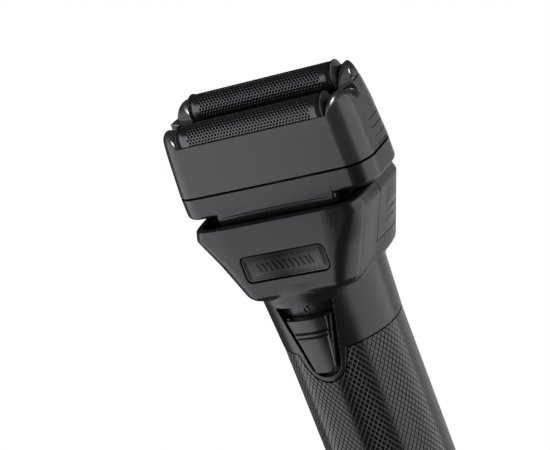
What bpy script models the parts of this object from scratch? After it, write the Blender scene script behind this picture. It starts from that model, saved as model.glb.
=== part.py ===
"""Cordless double-foil shaver.

Frame: metres, +Z up along the barrel.  The origin is the centre of the handle's
flat bottom face.  +X runs along the foils, -Y is the front, where the power
slider and the badge are.  All sizes below are millimetres; _HALF is a half size
along X and _R a radius.
"""

import math

import bmesh
import bpy
from mathutils import Matrix, Vector

MM = 0.001
SIDES = (("left", -1), ("right", 1))  # with the sign of X

# ---------------------------------------------------------------- shared dimensions
GRIP_R = 19.0  # outside of the grip sleeve
GRIP_IN_R = 17.6
GRIP_Z0, GRIP_Z1 = 10.3, 83.9
SEAM_Z = 84.2  # lower edge of the smooth neck
TONGUE_BOTTOM_Z = 74.4  # housing tongue that fills the sleeve's notch

SHOULDER_Z0 = 101.2  # neck meets the shoulder's underside
SHOULDER_Z1 = 104.2  # lower corner of the flared sides
CHAMFER_Z = 125.0
RIM_Z = 128.35
SHOULDER_DEPTH = 19.0  # half depth, front to back
SHOULDER_FLAT = 17.45  # half width of the flat front face
SHOULDER_LOW_HALF = 20.9  # at the lower corner
SHOULDER_TOP_HALF = 29.3  # at the chamfer line
RIM_HALF = 28.25
WALL = 2.2

BADGE_HALF, BADGE_Z0, BADGE_Z1, BADGE_CORNER_R = 13.87, 110.3, 118.5, 1.8

BUTTON_Y0, BUTTON_Y1 = -2.0, 12.0  # window of each release button
BUTTON_Z0, BUTTON_Z1 = 109.0, RIM_Z
BUTTON_GAP = 0.3
PRESS_Y = (BUTTON_Y0 + BUTTON_Y1) / 2  # line of a button's stem and spring
PRESS_Z = 115.0

SLOT_TOP_Z, SLOT_BOTTOM_Z = 100.2, 76.3
SLOT_FLOOR_R = 17.65
CAP_SCREW_X = 10.5
LIGHT_Z = 5.6

DECK_Z0, DECK_Z1 = 122.6, 124.6
BASE_Z0, BASE_Z1 = 129.9, 136.95
CASSETTE_Z0 = 137.25
HEAD_HALF, HEAD_FRONT, HEAD_BACK = 32.75, -12.35, 15.9

ARM_Y = {"front": -6.2, "rear": 10.2}  # posts of the two drive arms
TILT = math.radians(20.2)  # both foils lean forward by this

BLACK = (0.035, 0.036, 0.040)


# ---------------------------------------------------------------- objects
def material(name, color, roughness, metallic=0.0):
    mat = bpy.data.materials.new(name)
    mat.use_nodes = True
    inputs = mat.node_tree.nodes["Principled BSDF"].inputs
    inputs["Base Color"].default_value = (*color, 1.0)
    inputs["Roughness"].default_value = roughness
    inputs["Metallic"].default_value = metallic
    mat.diffuse_color = (*color, 1.0)
    return mat


def finish(name, shape, mat=None, smooth_angle=35.0):
    """Cleans the bmesh and links it as an object, in metres."""
    bmesh.ops.remove_doubles(shape, verts=shape.verts, dist=1e-5)
    bmesh.ops.recalc_face_normals(shape, faces=shape.faces)
    bmesh.ops.scale(shape, vec=(MM, MM, MM), verts=shape.verts)
    mesh = bpy.data.meshes.new(name)
    shape.to_mesh(mesh)
    shape.free()
    obj = bpy.data.objects.new(name, mesh)
    bpy.context.scene.collection.objects.link(obj)
    if mat:
        mesh.materials.append(mat)
    if smooth_angle:
        mesh.shade_smooth()
        mesh.set_sharp_from_angle(angle=math.radians(smooth_angle))
    return obj


def carve(obj, shape, name, operation="DIFFERENCE", solver="EXACT"):
    """Adds a Boolean whose hidden tool is built from shape."""
    tool = finish(name, shape, smooth_angle=0)
    tool.hide_render = True
    tool.display_type = "WIRE"
    mod = obj.modifiers.new(name, "BOOLEAN")
    mod.operation = operation
    mod.solver = solver
    mod.object = tool


def body(name, place):
    """An empty on the joint's axis that carries the pieces of one moving body."""
    empty = bpy.data.objects.new(name, None)
    empty.empty_display_size = 0.01
    empty.location = Vector(place) * MM
    bpy.context.scene.collection.objects.link(empty)
    return empty


def carry(parent, *pieces):
    """Parents pieces and their Boolean tools to a body, with origins on its axis."""
    for piece in pieces:
        for obj in [piece] + [mod.object for mod in piece.modifiers]:
            obj.data.transform(Matrix.Translation(-parent.location))
            obj.parent = parent


def mount_body(child, parent):
    """Parents one body to another, keeping its place."""
    child.location -= parent.location
    child.parent = parent


# ---------------------------------------------------------------- shapes
def loft(rings, closed=False):
    """Skins rings of equal point counts.  closed joins the last to the first."""
    shape = bmesh.new()
    rows = [[shape.verts.new(point) for point in ring] for ring in rings]
    count = len(rings[0])
    pairs = list(zip(rows, rows[1:]))
    if closed:
        pairs.append((rows[-1], rows[0]))
    for low, high in pairs:
        for i in range(count):
            j = (i + 1) % count
            shape.faces.new((low[i], low[j], high[j], high[i]))
    if not closed:
        shape.faces.new(rows[0][::-1])
        shape.faces.new(rows[-1])
    return shape


def lathe(profile, segments, x=0.0, y=0.0, tube=False):
    """Turns (radius, z) pairs about a vertical axis; tube closes the profile on itself."""
    turns = [2 * math.pi * i / segments for i in range(segments)]
    rings = [
        [(x + radius * math.cos(t), y + radius * math.sin(t), z) for t in turns]
        for radius, z in profile
    ]
    return loft(rings, tube)


def cylinder(radius, z0, z1, segments, x=0.0):
    return lathe([(radius, z0), (radius, z1)], segments, x)


def prism(outline, low, high, axis):
    """Extrudes an outline: axis x takes (y, z), axis y takes (x, z), axis z takes (x, y)."""

    def place(point, height):
        u, v = point
        return {"x": (height, u, v), "y": (u, height, v), "z": (u, v, height)}[axis]

    return loft([[place(point, height) for point in outline] for height in (low, high)])


def box(half_width, y_span, z_span, x=0.0):
    """A box centred on x."""
    x0, x1 = x - half_width, x + half_width
    y0, y1 = y_span
    return prism([(x0, y0), (x1, y0), (x1, y1), (x0, y1)], *z_span, "z")


def rounded(points, radii, segments):
    """Outline through the corner points, each rounded by its radius, with the same
    number of points at every corner."""
    out = []
    for i, point in enumerate(points):
        corner = Vector(point)
        before = Vector(points[i - 1]) - corner
        after = Vector(points[(i + 1) % len(points)]) - corner
        longest = 0.46 * before.length, 0.46 * after.length
        before.normalize()
        after.normalize()
        half = math.acos(max(-1.0, min(1.0, before.dot(after)))) / 2
        reach = min(radii[i] / math.tan(half), *longest)
        radius = reach * math.tan(half)
        centre = corner + (before + after).normalized() * (radius / math.sin(half))
        start = corner + before * reach - centre
        end = corner + after * reach - centre
        angle = start.angle_signed(end)
        for k in range(segments + 1):
            spoke = start.copy()
            spoke.rotate(Matrix.Rotation(-angle * k / segments, 2))
            out.append(tuple(centre + spoke))
    return out


def round_rect(x0, x1, y0, y1, radius, segments=4):
    return rounded([(x0, y0), (x1, y0), (x1, y1), (x0, y1)], [radius] * 4, segments)


def arc(centre, radius, start, end, steps):
    """Points on an arc, angles in degrees."""
    angles = [math.radians(start + (end - start) * k / steps) for k in range(steps + 1)]
    return [(centre[0] + radius * math.cos(t), centre[1] + radius * math.sin(t)) for t in angles]


def arch(radius, steps):
    return arc((0.0, 0.0), radius, 0, 180, steps)


def mirrored(points):
    """The points reflected in x = 0, in reverse order."""
    return [(-x, y) for x, y in reversed(points)]


def coil(radius, turns, length):
    """A helical compression spring along +Z from 0 to length."""
    wire, steps, sides = 0.25, 10, 5  # wire radius, rings per turn, points per ring
    rings = []
    total = int(turns * steps)
    climb = length - 2 * wire
    for i in range(total + 1):
        turn = 2 * math.pi * i / steps
        cos, sin = math.cos(turn), math.sin(turn)
        centre = Vector((radius * cos, radius * sin, wire + climb * i / total))
        radial = Vector((cos, sin, 0))
        along = Vector((-radius * sin, radius * cos, climb / (2 * math.pi * turns)))
        along.normalize()
        across = along.cross(radial)
        rings.append([
            tuple(centre + wire * (math.cos(t) * radial + math.sin(t) * across))
            for t in (2 * math.pi * k / sides for k in range(sides))
        ])
    return loft(rings)


def curved_plate(rows, inner_r, outer_r):
    """A plate that wraps the barrel's front.  rows: (half width, z) from bottom to top."""
    across = 8
    shape = bmesh.new()

    def skin(radius):
        grid = []
        for half, z in rows:
            xs = [half * (2 * k / across - 1) for k in range(across + 1)]
            grid.append([shape.verts.new((x, -math.sqrt(radius * radius - x * x), z)) for x in xs])
        return grid

    outer, inner = skin(outer_r), skin(inner_r)
    for i in range(len(rows) - 1):
        out_low, out_high, in_low, in_high = outer[i], outer[i + 1], inner[i], inner[i + 1]
        for k in range(across):
            shape.faces.new((out_low[k], out_low[k + 1], out_high[k + 1], out_high[k]))
            shape.faces.new((in_low[k + 1], in_low[k], in_high[k], in_high[k + 1]))
        shape.faces.new((in_low[0], out_low[0], out_high[0], in_high[0]))
        shape.faces.new((out_low[-1], in_low[-1], in_high[-1], out_high[-1]))
    for row, order in ((0, -1), (-1, 1)):
        for k in range(across):
            quad = (outer[row][k], outer[row][k + 1], inner[row][k + 1], inner[row][k])
            shape.faces.new(quad[::order])
    return shape


def taper_rows(top_z, bottom_z, top_half, low_half, end_r):
    """(half width, z) rows of a tapered tongue with a rounded bottom end."""
    steps = 5
    rows = []
    for k in range(steps + 1):
        angle = math.pi / 2 * k / steps
        half = (low_half - end_r) + end_r * math.sin(angle)
        rows.append((max(half, 0.6), bottom_z + end_r * (1 - math.cos(angle))))
    rows.append((top_half, top_z))
    return rows


# ---------------------------------------------------------------- placing
def shift(shape, move, turn=None):
    """Turns shape about the origin, then moves it."""
    if turn is not None:
        bmesh.ops.transform(shape, matrix=turn, verts=shape.verts)
    bmesh.ops.translate(shape, vec=move, verts=shape.verts)
    return shape


def tilted(shape, centre):
    """From a foil's own frame (Z out of the head) to its (y, z) centre on the head."""
    return shift(shape, (0, *centre), Matrix.Rotation(TILT, 4, "X"))


def aim_front(shape, y):
    """Lays +Z along -Y from y, at the height of the charge light."""
    return shift(shape, (0, y, LIGHT_Z), Matrix.Rotation(math.radians(90), 4, "X"))


def aim_side(shape, sign, x):
    """Lays +Z outwards from x, on a release button's line."""
    turn = Matrix.Rotation(math.radians(90) * sign, 4, "Y")
    return shift(shape, (sign * x, PRESS_Y, PRESS_Z), turn)


# ---------------------------------------------------------------- plan outlines
def between(start, end, count):
    """Evenly spaced points strictly between two points."""
    return [
        tuple(u + (v - u) * k / (count + 1) for u, v in zip(start, end))
        for k in range(1, count + 1)
    ]


def shoulder_outline(half_width, depth, inset=0.0, segments=3):
    """Plan of the shoulder: flat front and back, a faint vertical edge, facets that
    turn back to the rounded sides."""
    half_width, depth = half_width - inset, depth - inset
    flat = min(SHOULDER_FLAT, half_width - 5.6) - 0.3 * inset
    facet_x, facet_y = half_width - 1.4, depth - 1.15
    right = [(flat, -depth), (facet_x, -facet_y), (half_width, 0.0), (facet_x, facet_y), (flat, depth)]
    curve = rounded(right + mirrored(right), [1.0, 5.8, 60.0, 5.8, 1.0] * 2, segments)
    back = 5 * (segments + 1)  # the back's straight run lies between these corners
    back_run = between(curve[back - 1], curve[back], 6)
    return curve[:back] + back_run + curve[back:] + between(curve[-1], curve[0], 6)


def head_ring(z, grow=0.0, half_width=HEAD_HALF, front=HEAD_FRONT, back=HEAD_BACK):
    """Plan ring of the head: a slightly bowed front and large back corners."""
    half_width, front, back = half_width + grow, front - grow, back + grow
    right = [
        (half_width - 0.6, front + 0.5),
        (half_width, (front + back) / 2),
        (half_width - 1.3, back - 0.3),
    ]
    points = [(0.0, front)] + right + [(0.0, back)] + mirrored(right)
    radii = [900.0, 6.6, 120.0, 8.0, 900.0, 8.0, 120.0, 6.6]
    return [(x, y, z) for x, y in rounded(points, radii, segments=5)]


for stale in list(bpy.data.objects):
    bpy.data.objects.remove(stale, do_unlink=True)

# ================================================================ handle
# Grip sleeve: a plain tube, notched at the front for the switch tongue.
GRIP_PROFILE = [(GRIP_R, GRIP_Z0), (GRIP_R, GRIP_Z1), (GRIP_IN_R, GRIP_Z1), (GRIP_IN_R, GRIP_Z0)]
grip_metal = material("grip_metal", (0.05, 0.051, 0.055), roughness=0.38, metallic=0.6)
grip = finish("grip_sleeve", lathe(GRIP_PROFILE, 72, tube=True), grip_metal)
notch = taper_rows(SEAM_Z + 1.0, TONGUE_BOTTOM_Z - 0.3, top_half=8.42, low_half=6.5, end_r=5.6)
carve(grip, curved_plate(notch, 15.0, 22.0), "tool_sleeve_notch")

# Upper housing: tail inside the sleeve, smooth neck, flared shoulder, open at the top.
SPIGOT_R, SPIGOT_Z0 = 17.25, 70.0  # the tail
NECK_LOW_R, NECK_TOP_R, NECK_IN_R = 19.1, 19.9, 16.0
NECK_OUTSIDE = [  # radius, z
    (SPIGOT_R, SPIGOT_Z0),
    (SPIGOT_R, SEAM_Z),
    (NECK_LOW_R, SEAM_Z + 0.001),
    (NECK_TOP_R, SHOULDER_Z0 - 1.0),
    (NECK_TOP_R + 0.05, SHOULDER_Z0),
]
NECK_INSIDE = [(NECK_IN_R, SHOULDER_Z0 - 2.0), (NECK_IN_R, SPIGOT_Z0)]
RIM_DEPTH = SHOULDER_DEPTH - 0.45
SHOULDER_ROWS = [  # z, half width, half depth, inset; up the outside, down the inside
    (SHOULDER_Z0 + 1.8, SHOULDER_LOW_HALF - 0.9, SHOULDER_DEPTH, 0.0),
    (SHOULDER_Z1, SHOULDER_LOW_HALF, SHOULDER_DEPTH, 0.0),
    (CHAMFER_Z, SHOULDER_TOP_HALF, SHOULDER_DEPTH, 0.0),
    (RIM_Z, RIM_HALF, RIM_DEPTH, 0.0),
    (RIM_Z, RIM_HALF, RIM_DEPTH, 1.9),
    (CHAMFER_Z - 0.5, SHOULDER_TOP_HALF, SHOULDER_DEPTH, WALL),
    (SHOULDER_Z1 + 1.0, SHOULDER_LOW_HALF + 0.4, SHOULDER_DEPTH, WALL),
]


def neck_rings(profile):
    """Circles whose points line up with those of the shoulder's lower corner."""
    outline = shoulder_outline(SHOULDER_LOW_HALF, SHOULDER_DEPTH)
    return [
        [(x / math.hypot(x, y) * radius, y / math.hypot(x, y) * radius, z) for x, y in outline]
        for radius, z in profile
    ]


shoulder_rings = [
    [(x, y, z) for x, y in shoulder_outline(half, depth, inset)]
    for z, half, depth, inset in SHOULDER_ROWS
]
plastic = material("housing_black", BLACK, roughness=0.42)
housing_rings = neck_rings(NECK_OUTSIDE) + shoulder_rings + neck_rings(NECK_INSIDE)
housing = finish("upper_housing", loft(housing_rings, closed=True), plastic)
tongue = taper_rows(SEAM_Z + 0.4, TONGUE_BOTTOM_Z, top_half=7.9, low_half=6.2, end_r=5.4)
carve(housing, curved_plate(tongue, 16.6, GRIP_R + 0.05), "tool_tongue", "UNION")
slot = taper_rows(SLOT_TOP_Z, SLOT_BOTTOM_Z, top_half=9.6, low_half=5.0, end_r=4.0)
carve(housing, curved_plate(slot, SLOT_FLOOR_R, 23.0), "tool_switch_slot")
carve(housing, box(1.9, (-20.0, -12.0), (84.0, 94.2)), "tool_stem_slot")

BADGE_GAP = 0.3
pocket = round_rect(
    -BADGE_HALF - BADGE_GAP, BADGE_HALF + BADGE_GAP, BADGE_Z0 - BADGE_GAP, BADGE_Z1 + BADGE_GAP,
    BADGE_CORNER_R + BADGE_GAP, 5,
)
pocket_tool = prism(pocket, -21.7, -SHOULDER_DEPTH + 1.03, "y")
carve(housing, pocket_tool, "tool_badge_pocket", solver="MANIFOLD")
for side, sign in SIDES:
    window = round_rect(BUTTON_Y0, BUTTON_Y1, BUTTON_Z0, BUTTON_Z1 + 4.0, 0.4, 2)
    window_tool = prism(window, sign * 19.0, sign * 40.0, "x")
    carve(housing, window_tool, "tool_button_window_" + side, solver="MANIFOLD")

# Badge: a plate flush with the shoulder's front.
badge = round_rect(-BADGE_HALF, BADGE_HALF, BADGE_Z0, BADGE_Z1, BADGE_CORNER_R)
gunmetal = material("badge_gunmetal", (0.10, 0.10, 0.105), roughness=0.32, metallic=1.0)
finish("badge_plate", prism(badge, -SHOULDER_DEPTH, -SHOULDER_DEPTH + 0.7, "y"), gunmetal)

# End cap, with holes for its two screws and the charge light.  Profiles: (radius, z).
CAP_PROFILE = [
    (17.6, 0.0), (18.4, 0.35), (19.0, 1.2), (19.0, 10.0), (17.3, 10.0),
    (17.3, 14.0), (15.7, 14.0), (15.7, 3.0), (4.2, 3.0), (4.2, 0.0),
]
CAP_HOLE_PROFILE = [(2.9, -1.0), (2.9, 1.4), (1.6, 1.45), (1.6, 4.0)]
cap_black = material("cap_black", BLACK, roughness=0.45)
cap = finish("end_cap", lathe(CAP_PROFILE, 48, tube=True), cap_black)
for side, sign in SIDES:
    carve(cap, lathe(CAP_HOLE_PROFILE, 18, sign * CAP_SCREW_X), "tool_cap_hole_" + side)
carve(cap, aim_front(cylinder(1.4, 0.0, 5.0, 20), -14.5), "tool_light_hole")

# Slotted cap screws.
CAP_SCREW_PROFILE = [
    (2.4, 0.15), (2.55, 0.35), (2.55, 1.1), (1.3, 1.15), (1.3, 7.6), (0.7, 8.2),
]
steel = material("screw_steel", (0.18, 0.18, 0.19), roughness=0.3, metallic=1.0)
for side, sign in SIDES:
    screw_x = sign * CAP_SCREW_X
    screw = finish("cap_screw_" + side, lathe(CAP_SCREW_PROFILE, 16, screw_x), steel)
    carve(screw, box(1.6, (-0.35, 0.35), (-0.5, 0.75), screw_x), "tool_screw_slot_" + side)

# Charge socket and light.
SOCKET_PROFILE = [(0.6, 0.9), (0.6, 8.0), (2.75, 8.0), (2.75, 0.3), (3.85, 0.3), (3.85, 10.0)]
socket_black = material("socket_black", (0.02, 0.02, 0.02), roughness=0.5)
finish("charge_socket", lathe(SOCKET_PROFILE, 28), socket_black)
LIGHT_PROFILE = [(1.1, 0.0), (1.1, 3.3), (0.8, 3.9)]
lens = material("light_lens", (0.75, 0.78, 0.8), roughness=0.2)
finish("charge_light", aim_front(lathe(LIGHT_PROFILE, 20), -15.0), lens)

# Chassis: two half tubes around the cell and the board.
CHASSIS_IN_R, CHASSIS_OUT_R = 15.45, 17.2
CHASSIS_Z0, CHASSIS_Z1 = 14.4, 69.6
CHASSIS_GAP = 0.15  # from each half to the mid plane


def half_circle(radius):
    edge = math.degrees(math.asin(CHASSIS_GAP / radius))
    return arc((0.0, 0.0), radius, edge, 180 - edge, 14)


chassis_grey = material("chassis_grey", (0.12, 0.12, 0.12), roughness=0.6)
half_section = half_circle(CHASSIS_OUT_R) + half_circle(CHASSIS_IN_R)[::-1]
for label, sign in (("front", -1), ("rear", 1)):
    section = [(x, sign * y) for x, y in half_section]
    finish("chassis_" + label, prism(section, CHASSIS_Z0, CHASSIS_Z1, "z"), chassis_grey)

# Battery cell and its end tabs.
CELL_PROFILE = [(8.8, 14.6), (9.2, 15.0), (9.2, 78.2), (8.6, 79.0), (4.0, 79.0), (4.0, 79.7)]
cell_wrap = material("cell_wrap", (0.05, 0.16, 0.30), roughness=0.4)
finish("battery_cell", lathe(CELL_PROFILE, 32, y=4.0), cell_wrap)
nickel = material("tab_nickel", (0.6, 0.58, 0.54), roughness=0.3, metallic=1.0)
for label, z0, z1 in (("upper", 80.0, 80.4), ("lower", 13.8, 14.2)):
    tab = round_rect(-3.0, 3.0, -11.9, 7.0, 0.8, 2)
    finish("battery_tab_" + label, prism(tab, z0, z1, "z"), nickel)

# Circuit board and the switch in front of it.
board_green = material("board_green", (0.03, 0.16, 0.07), roughness=0.5)
finish("circuit_board", box(5.5, (-13.9, -12.9), (16.0, 98.0)), board_green)
switch_black = material("switch_black", (0.02, 0.02, 0.02), roughness=0.5)
finish("power_switch", box(3.2, (-15.3, -14.2), (83.0, 95.0)), switch_black)

# Motor, its mount and the mount's screws.
MOTOR_PROFILE = [
    (10.9, 81.0), (11.8, 82.0), (11.8, 108.6), (11.2, 109.2),
    (3.2, 109.2), (3.2, 110.9), (1.35, 110.9), (1.35, 104.0),
]
MOUNT_SCREW_PROFILE = [(1.2, 109.45), (1.2, 112.0), (2.3, 112.0), (2.3, 113.0), (1.9, 113.4)]
MOUNT_SCREW_X = 8.0
zinc = material("motor_zinc", (0.55, 0.56, 0.57), roughness=0.32, metallic=1.0)
finish("motor_can", lathe(MOTOR_PROFILE, 32), zinc)
mount_grey = material("mount_grey", (0.16, 0.16, 0.17), roughness=0.6)
mount_plan = round_rect(-19.0, 19.0, -14.5, 14.5, 6.0, 3)
mount = finish("motor_mount", prism(mount_plan, 109.5, 111.7, "z"), mount_grey)
carve(mount, cylinder(4.2, 105.0, 115.0, 24), "tool_mount_bore")
for side, sign in SIDES:
    screw_x = sign * MOUNT_SCREW_X
    carve(mount, cylinder(1.5, 105.0, 115.0, 12, screw_x), "tool_mount_hole_" + side)
    finish("mount_screw_" + side, lathe(MOUNT_SCREW_PROFILE, 16, screw_x), steel)


# ================================================================ deck and head base
def cut_arm_windows(obj, part):
    """Clearance for both drive arms and their strokes."""
    for label, y in ARM_Y.items():
        tool = box(4.4, (y - 1.9, y + 1.9), (115.0, 134.0))
        carve(obj, tool, f"tool_{part}_window_{label}")


# Deck that closes the shoulder.
deck_plan = shoulder_outline(26.8, SHOULDER_DEPTH - 0.2, WALL + 0.35, segments=2)
deck_black = material("deck_black", BLACK, roughness=0.55)
deck = finish("top_deck", prism(deck_plan, DECK_Z0, DECK_Z1, "z"), deck_black)
cut_arm_windows(deck, "deck")

# Head base: a dished tray with a lip at the front.
BASE_ROWS = [  # z, growth of the head's outline; up the outside, then the floor
    (BASE_Z0, -2.2), (BASE_Z0 + 0.3, -1.1), (BASE_Z0 + 1.0, -0.35), (BASE_Z0 + 2.2, -0.05),
    (BASE_Z1, 0.0), (BASE_Z1, -2.0), (BASE_Z0 + 2.0, -2.6),
]
head = finish("head_base", loft([head_ring(z, grow) for z, grow in BASE_ROWS]), plastic)
cut_arm_windows(head, "base")
lip = prism(round_rect(-20.0, 20.0, 126.9, 131.3, 1.3, 2), -12.93, -10.4, "y")
carve(head, lip, "tool_front_lip", "UNION", "MANIFOLD")

# Pedestal between the deck and the head base.
PEDESTAL_GAP = 0.3
pedestal_plan = round_rect(-24.6, 24.6, -9.5, 13.2, 6.0, 4)
pedestal = finish(
    "head_pedestal",
    prism(pedestal_plan, DECK_Z1 + PEDESTAL_GAP, BASE_Z0 - PEDESTAL_GAP, "z"),
    material("pedestal_black", (0.02, 0.02, 0.022), roughness=0.6),
)
cut_arm_windows(pedestal, "pedestal")

# Flat rubber glands on the base's floor, one round each arm, with room for the stroke.
for label, y in ARM_Y.items():
    name = "drive_seal_" + label
    gland = prism(round_rect(-7.6, 7.6, y - 2.8, y + 2.8, 1.6, 3), 132.2, 133.4, "z")
    rubber = material(name + "_rubber", (0.03, 0.03, 0.03), roughness=0.8)
    seal = finish(name, gland, rubber)
    carve(seal, box(4.2, (y - 1.7, y + 1.7), (130.0, 136.0)), "tool_" + name)

# ================================================================ release buttons
PAD_Z0, PAD_Z1 = BUTTON_Z0 + BUTTON_GAP, BUTTON_Z1 - 0.2
PAD_BACK = 1.8  # from the shoulder's side in to the pad's inner face
PAD_FACE = [  # z, height above the shoulder's side; grip ridges low on the face
    (PAD_Z0, -0.1), (111.6, 0.0), (112.4, 0.35), (113.2, 0.35),
    (114.0, -0.15), (114.8, 0.45), (115.8, 0.5), (116.4, -0.1),
    (117.2, 0.1), (118.4, 0.8), (120.5, 0.75), (CHAMFER_Z, -0.05),
]


def side_x(z):
    """Half width of the shoulder's flared side at z."""
    slope = (SHOULDER_TOP_HALF - SHOULDER_LOW_HALF) / (CHAMFER_Z - SHOULDER_Z1)
    return SHOULDER_LOW_HALF + slope * (z - SHOULDER_Z1)


pad_section = [(side_x(z) + height, z) for z, height in PAD_FACE] + [
    (RIM_HALF - 0.1, PAD_Z1),
    (RIM_HALF - 1.7, PAD_Z1),
    (side_x(CHAMFER_Z) - PAD_BACK, CHAMFER_Z),
    (side_x(PAD_Z0) - PAD_BACK, PAD_Z0),
]
for side, sign in SIDES:
    pad = finish(
        "release_button_" + side,
        prism(
            [(sign * x, z) for x, z in pad_section],
            BUTTON_Y0 + BUTTON_GAP, BUTTON_Y1 - BUTTON_GAP, "y",
        ),
        material("button_black_" + side, BLACK, roughness=0.4),
    )
    stem = aim_side(cylinder(1.2, 0.0, 5.4, 14), sign, 18.3)
    carve(pad, stem, "tool_button_stem_" + side, "UNION")
    carry(body("release_axis_" + side, (sign * 24.0, PRESS_Y, PRESS_Z)), pad)
    spring = aim_side(coil(radius=1.9, turns=3.0, length=5.9), sign, 16.5)
    finish("release_spring_" + side, spring, steel)

    # Post behind the spring, just above the motor mount.
    seat = round_rect(PRESS_Y - 3.0, PRESS_Y + 3.0, 112.0, 118.2, 1.0, 2)
    finish("spring_seat_" + side, prism(seat, sign * 14.3, sign * 16.1, "x"), chassis_grey)

# ================================================================ power slider
# Tapered plate with two raised pads in front and a stem behind.
SLIDER_TOP_Z = 96.1
slider_rows = taper_rows(SLIDER_TOP_Z, bottom_z=77.0, top_half=7.7, low_half=3.9, end_r=3.2)
slider_black = material("slider_black", (0.04, 0.041, 0.045), roughness=0.33)
slider = finish("power_slider", curved_plate(slider_rows, SLOT_FLOOR_R + 0.3, 19.1), slider_black)
upper_pad = [(5.55, 91.0), (6.35, SLIDER_TOP_Z - 0.3)]
carve(slider, curved_plate(upper_pad, 18.2, 19.9), "tool_slider_pad_upper", "UNION")
lower_pad = taper_rows(top_z=90.6, bottom_z=77.7, top_half=5.5, low_half=3.3, end_r=2.8)
carve(slider, curved_plate(lower_pad, 18.2, 20.4), "tool_slider_pad_lower", "UNION")
slider_stem = box(1.27, (-18.43, -15.83), (85.07, 89.57))
carve(slider, slider_stem, "tool_slider_stem", "UNION", "MANIFOLD")
carry(body("slider_axis", (0.0, -19.0, 87.0)), slider)

# ================================================================ rotor
# Motor shaft and a cam with two opposed cranks.
SHAFT_PROFILE = [(1.0, 105.0), (1.1, 105.2), (1.1, 121.2), (0.9, 121.4)]
CRANK_R, CRANK_OFFSET = 3.0, 1.2
shaft = finish("motor_shaft", lathe(SHAFT_PROFILE, 16), steel)
acetal = material("cam_acetal", (0.7, 0.7, 0.68), roughness=0.45)
cam = finish("eccentric_cam", cylinder(4.6, 112.2, 113.6, 24), acetal)
for label, z0, z1, x in (
    ("front", 113.3, 116.6, CRANK_OFFSET),
    ("rear", 116.5, 119.9, -CRANK_OFFSET),
):
    carve(cam, cylinder(CRANK_R, z0, z1, 20, x), "tool_crank_" + label, "UNION")
carve(cam, cylinder(1.42, 111.0, 122.0, 20), "tool_cam_bore")
carry(body("rotor_axis", (0.0, 0.0, 114.0)), shaft, cam)

# ================================================================ arms, cutters and foils
FOIL_R, FOIL_T, FOIL_HALF = 4.4, 0.25, 23.9
LEG_Z = -3.0  # lower edge of the foil's legs, in the foil's frame
CUT_R, CUT_HALF = 3.9, 21.6
BLADES, BLADE_WIDTH = 15, 1.3
CARRIER_R = FOIL_R + 0.05
CARRIER_Z = -5.0  # bottom of the carrier, in the foil's frame


def drive_arm(name, centre, plate_z, plate_back, window_y, post_y, post_top, collar_back):
    """Yoke plate with an open window round its crank, a post up through the head,
    a spring collar and a drive pin that leans with the foils."""
    z0, z1 = plate_z
    plate = prism(round_rect(-13.0, 13.0, -11.0, plate_back, 2.0, 2), z0, z1, "z")
    arm_acetal = material(name + "_acetal", (0.72, 0.72, 0.70), roughness=0.45)
    obj = finish(name, plate, arm_acetal)
    carve(obj, box(6.1, window_y, (z0 - 1, z1 + 1)), f"tool_{name}_window")
    post = box(2.6, (post_y - 1.3, post_y + 1.3), (z0 + 0.4, post_top))
    carve(obj, post, f"tool_{name}_post", "UNION")
    collar = tilted(box(2.9, (-2.6, collar_back), (-10.8, -9.5)), centre)
    carve(obj, collar, f"tool_{name}_collar", "UNION")
    pin = tilted(box(1.6, (-1.0, 1.0), (-10.4, -2.4)), centre)
    carve(obj, pin, f"tool_{name}_pin", "UNION")
    return obj


def comb_section(x, blade):
    """Section of the cutter at x, in the foil's frame: the arch on a blade, the low
    spine between blades."""
    if blade:
        points = arch(CUT_R, 8)
    else:
        points = [(y, 0.9 * z) for y, z in arch(CUT_R - 1.3, 8)]
    return [(x, y, z) for y, z in points + [(-2.6, -4.6), (2.6, -4.6)]]


def cutter(name, centre):
    """Comb of arched blades on a spine, with a socket for the drive pin below."""
    sections = []
    pitch = (2 * CUT_HALF - BLADE_WIDTH) / (BLADES - 1)
    for k in range(BLADES):
        x = -CUT_HALF + k * pitch
        sections += [comb_section(x, True), comb_section(x + BLADE_WIDTH, True)]
        if k < BLADES - 1:
            sections.append(comb_section(x + BLADE_WIDTH + 0.01, False))
            sections.append(comb_section(x + pitch - 0.01, False))
    cutter_steel = material(name + "_steel", (0.35, 0.35, 0.36), roughness=0.25, metallic=1.0)
    obj = finish(name, tilted(loft(sections), centre), cutter_steel, smooth_angle=20)
    socket = tilted(box(2.0, (-1.35, 1.35), (-6.0, -0.6)), centre)
    carve(obj, socket, f"tool_{name}_socket")
    return obj


def foil(name, centre):
    """Thin arched foil with straight legs."""
    inner_r = FOIL_R - FOIL_T
    outer = [(FOIL_R, LEG_Z)] + arch(FOIL_R, 12) + [(-FOIL_R, LEG_Z)]
    inner = [(inner_r, LEG_Z)] + arch(inner_r, 12) + [(-inner_r, LEG_Z)]
    foil_steel = material(name + "_steel", (0.16, 0.165, 0.17), roughness=0.28, metallic=1.0)
    shape = prism(outer + inner[::-1], -FOIL_HALF, FOIL_HALF, "x")
    return finish(name, tilted(shape, centre), foil_steel)


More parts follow.
